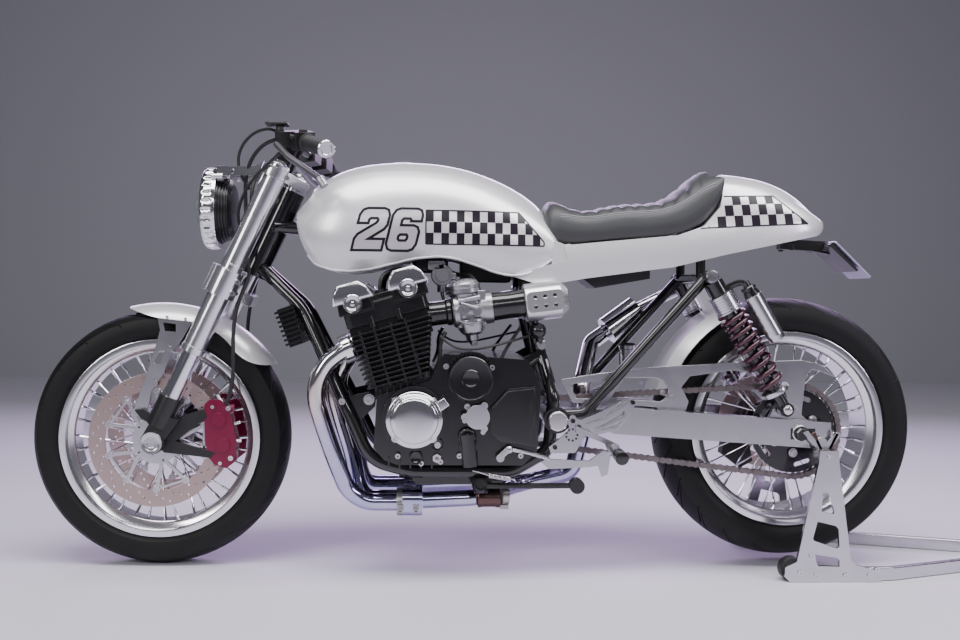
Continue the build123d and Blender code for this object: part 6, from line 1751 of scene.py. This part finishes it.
def trimRearSets(form):
    plain = set(form.faces)
    for side in (-1, 1):
        for s, z in ((954, 362), (914, 302), (968, 348), (1090, 405), (1046, 300)):
            addScrew(form, at(s, side * 178, z), (0, side, 0), 0.0056, 0.005)
        addTurned(form, at(1047, side * 244, 296), (0, side, -0.05),
                  [(0, 0.0), (0, 0.0135), (0.002, 0.0145), (0.030, 0.0145), (0.031, 0.0130),
                   (0.033, 0.0130), (0.034, 0.0150), (0.044, 0.0150), (0.046, 0.0135), (0.046, 0.0)], 36)
    for index in range(9):
        angle = math.radians(40 * index)
        addRod(form, at(952 + 13 * math.cos(angle), -178.5, 330 + 13 * math.sin(angle)),
               at(952 + 13 * math.cos(angle), -179.2, 330 + 13 * math.sin(angle)), 0.0026, segments=10)
    paint(form, plain)


guard = {
    "edge": ((984, 354), (1030, 372), (1078, 412), (1084, 404), (1080, 372), (1056, 343), (1001, 330)),
    "slot": ((1000, 350), (1030, 360), (1066, 388), (1072, 384), (1068, 376), (1010, 345)),
    "lowSlot": ((1012, 341), (1054, 358), (1066, 366), (1052, 349)),
}


def makeLinkage():
    # shift rod and its joints, heel guards
    form = bmesh.new()
    addTube(form, [at(808, -206, 300), at(830, -198, 297), at(880, -190, 284), at(900, -188, 276)],
            0.0050, 12)
    addBall(form, at(808, -203, 300), 0.010)
    addRod(form, at(788, -196, 282), at(788, -214, 282), 0.009, segments=20)
    addBlock(form, at(796, -208, 292), (0.034, 0.008, 0.014),
             Matrix.Rotation(math.radians(-42), 4, "Y"), 0.002)
    for side in (-1, 1):
        addSidePlate(form, side * 183, 3.2, [guard["edge"], guard["slot"], guard["lowSlot"]], 0.0006)
    return form


soften("rear_sets", ("brushedAlloy", "gloss"), 0.0014, extra=trimRearSets)
settle("footLinkage", makeLinkage(), "brushedAlloy", "root")
soften("side_stand_bracket", "satinBlack", 0.0016)
soften("side_stand", "satinBlack", 0.0016)


def makeStandSpring():
    form = bmesh.new()
    start, end = at(764, -192, 240), at(812, -192, 232)
    length = (end - start).length
    addTube(form, windCoil(start, (end - start).normalized(), 0.0058, 16, 8, lambda share: length * share),
            0.0013, 6, 2)
    addTube(form, [at(728, -188, 250), at(748, -192, 246), start], 0.0016, 8)
    addTube(form, [end, at(822, -192, 232), at(826, -190, 224)], 0.0016, 8)
    return form


settle("standSpring", makeStandSpring(), "brightBolt", "root")


def trimUprights(form):
    bolts = set(form.faces)
    for side in (-1, 1):
        for s, z in ((1474, 22), (1512, 16), (1580, 16), (1636, 16), (1652, 30), (1500, 60)):
            addScrew(form, at(s, side * 205, z), (0, side, 0), 0.0058, 0.004, 18)
        addScrew(form, at(1538, side * 205, 286), (0, side, 0), 0.0062, 0.005, 18)
    paint(form, bolts)


def makeHooks():
    # bronze jaws of the stand round the swingarm's spools
    form = bmesh.new()
    for side in (-1, 1):
        for shift, lean in ((-18, 26), (20, -26)):
            addBlock(form, at(1538 + shift, side * 171, 318), (0.010, 0.010, 0.044),
                     Matrix.Rotation(math.radians(-lean), 4, "Y"), 0.002)
    return form


settle("standJaws", makeHooks(), "bronze", "root")
soften("stand_uprights", ("brushedAlloy", "brightBolt"), 0.0014, extra=trimUprights)
soften("stand_arms", "brushedAlloy", 0.003)


def trimRollers(form):
    for side in (-1, 1):
        addTurned(form, at(1460, side * 195.5, 27), (0, side, 0),
                  [(0, 0), (0, 0.012), (0.002, 0.012), (0.003, 0.010), (0.003, 0)], 30)


soften("stand_rollers", "softRubber", 0.003, extra=trimRollers)


def trimRearBrake(form):
    # reservoir cap and hose
    addTurned(form, at(1129, 95, 516), (0, 0, 1),
              [(0, 0), (0, 0.0215), (0.010, 0.0215), (0.012, 0.020), (0.012, 0)], 40)
    addTube(form, [at(1129, 95, 476), at(1128, 100, 452), at(1100, 130, 420), at(1060, 150, 380)],
            0.004, 10)


soften("rear_brake", "satinBlack", 0.0014, extra=trimRearBrake)


def makeReservoir():
    form = bmesh.new()
    addTurned(form, at(1129, 95, 472), (0, 0, 1), [(0, 0), (0, 0.014), (0.004, 0.0205), (0.040, 0.0205),
                                                   (0.041, 0.0225), (0.050, 0.0225), (0.051, 0.0205),
                                                   (0.051, 0)], 48)
    return form


settle("fluidPot", makeReservoir(), "brushedAlloy", "root")
print("rear end dressed")
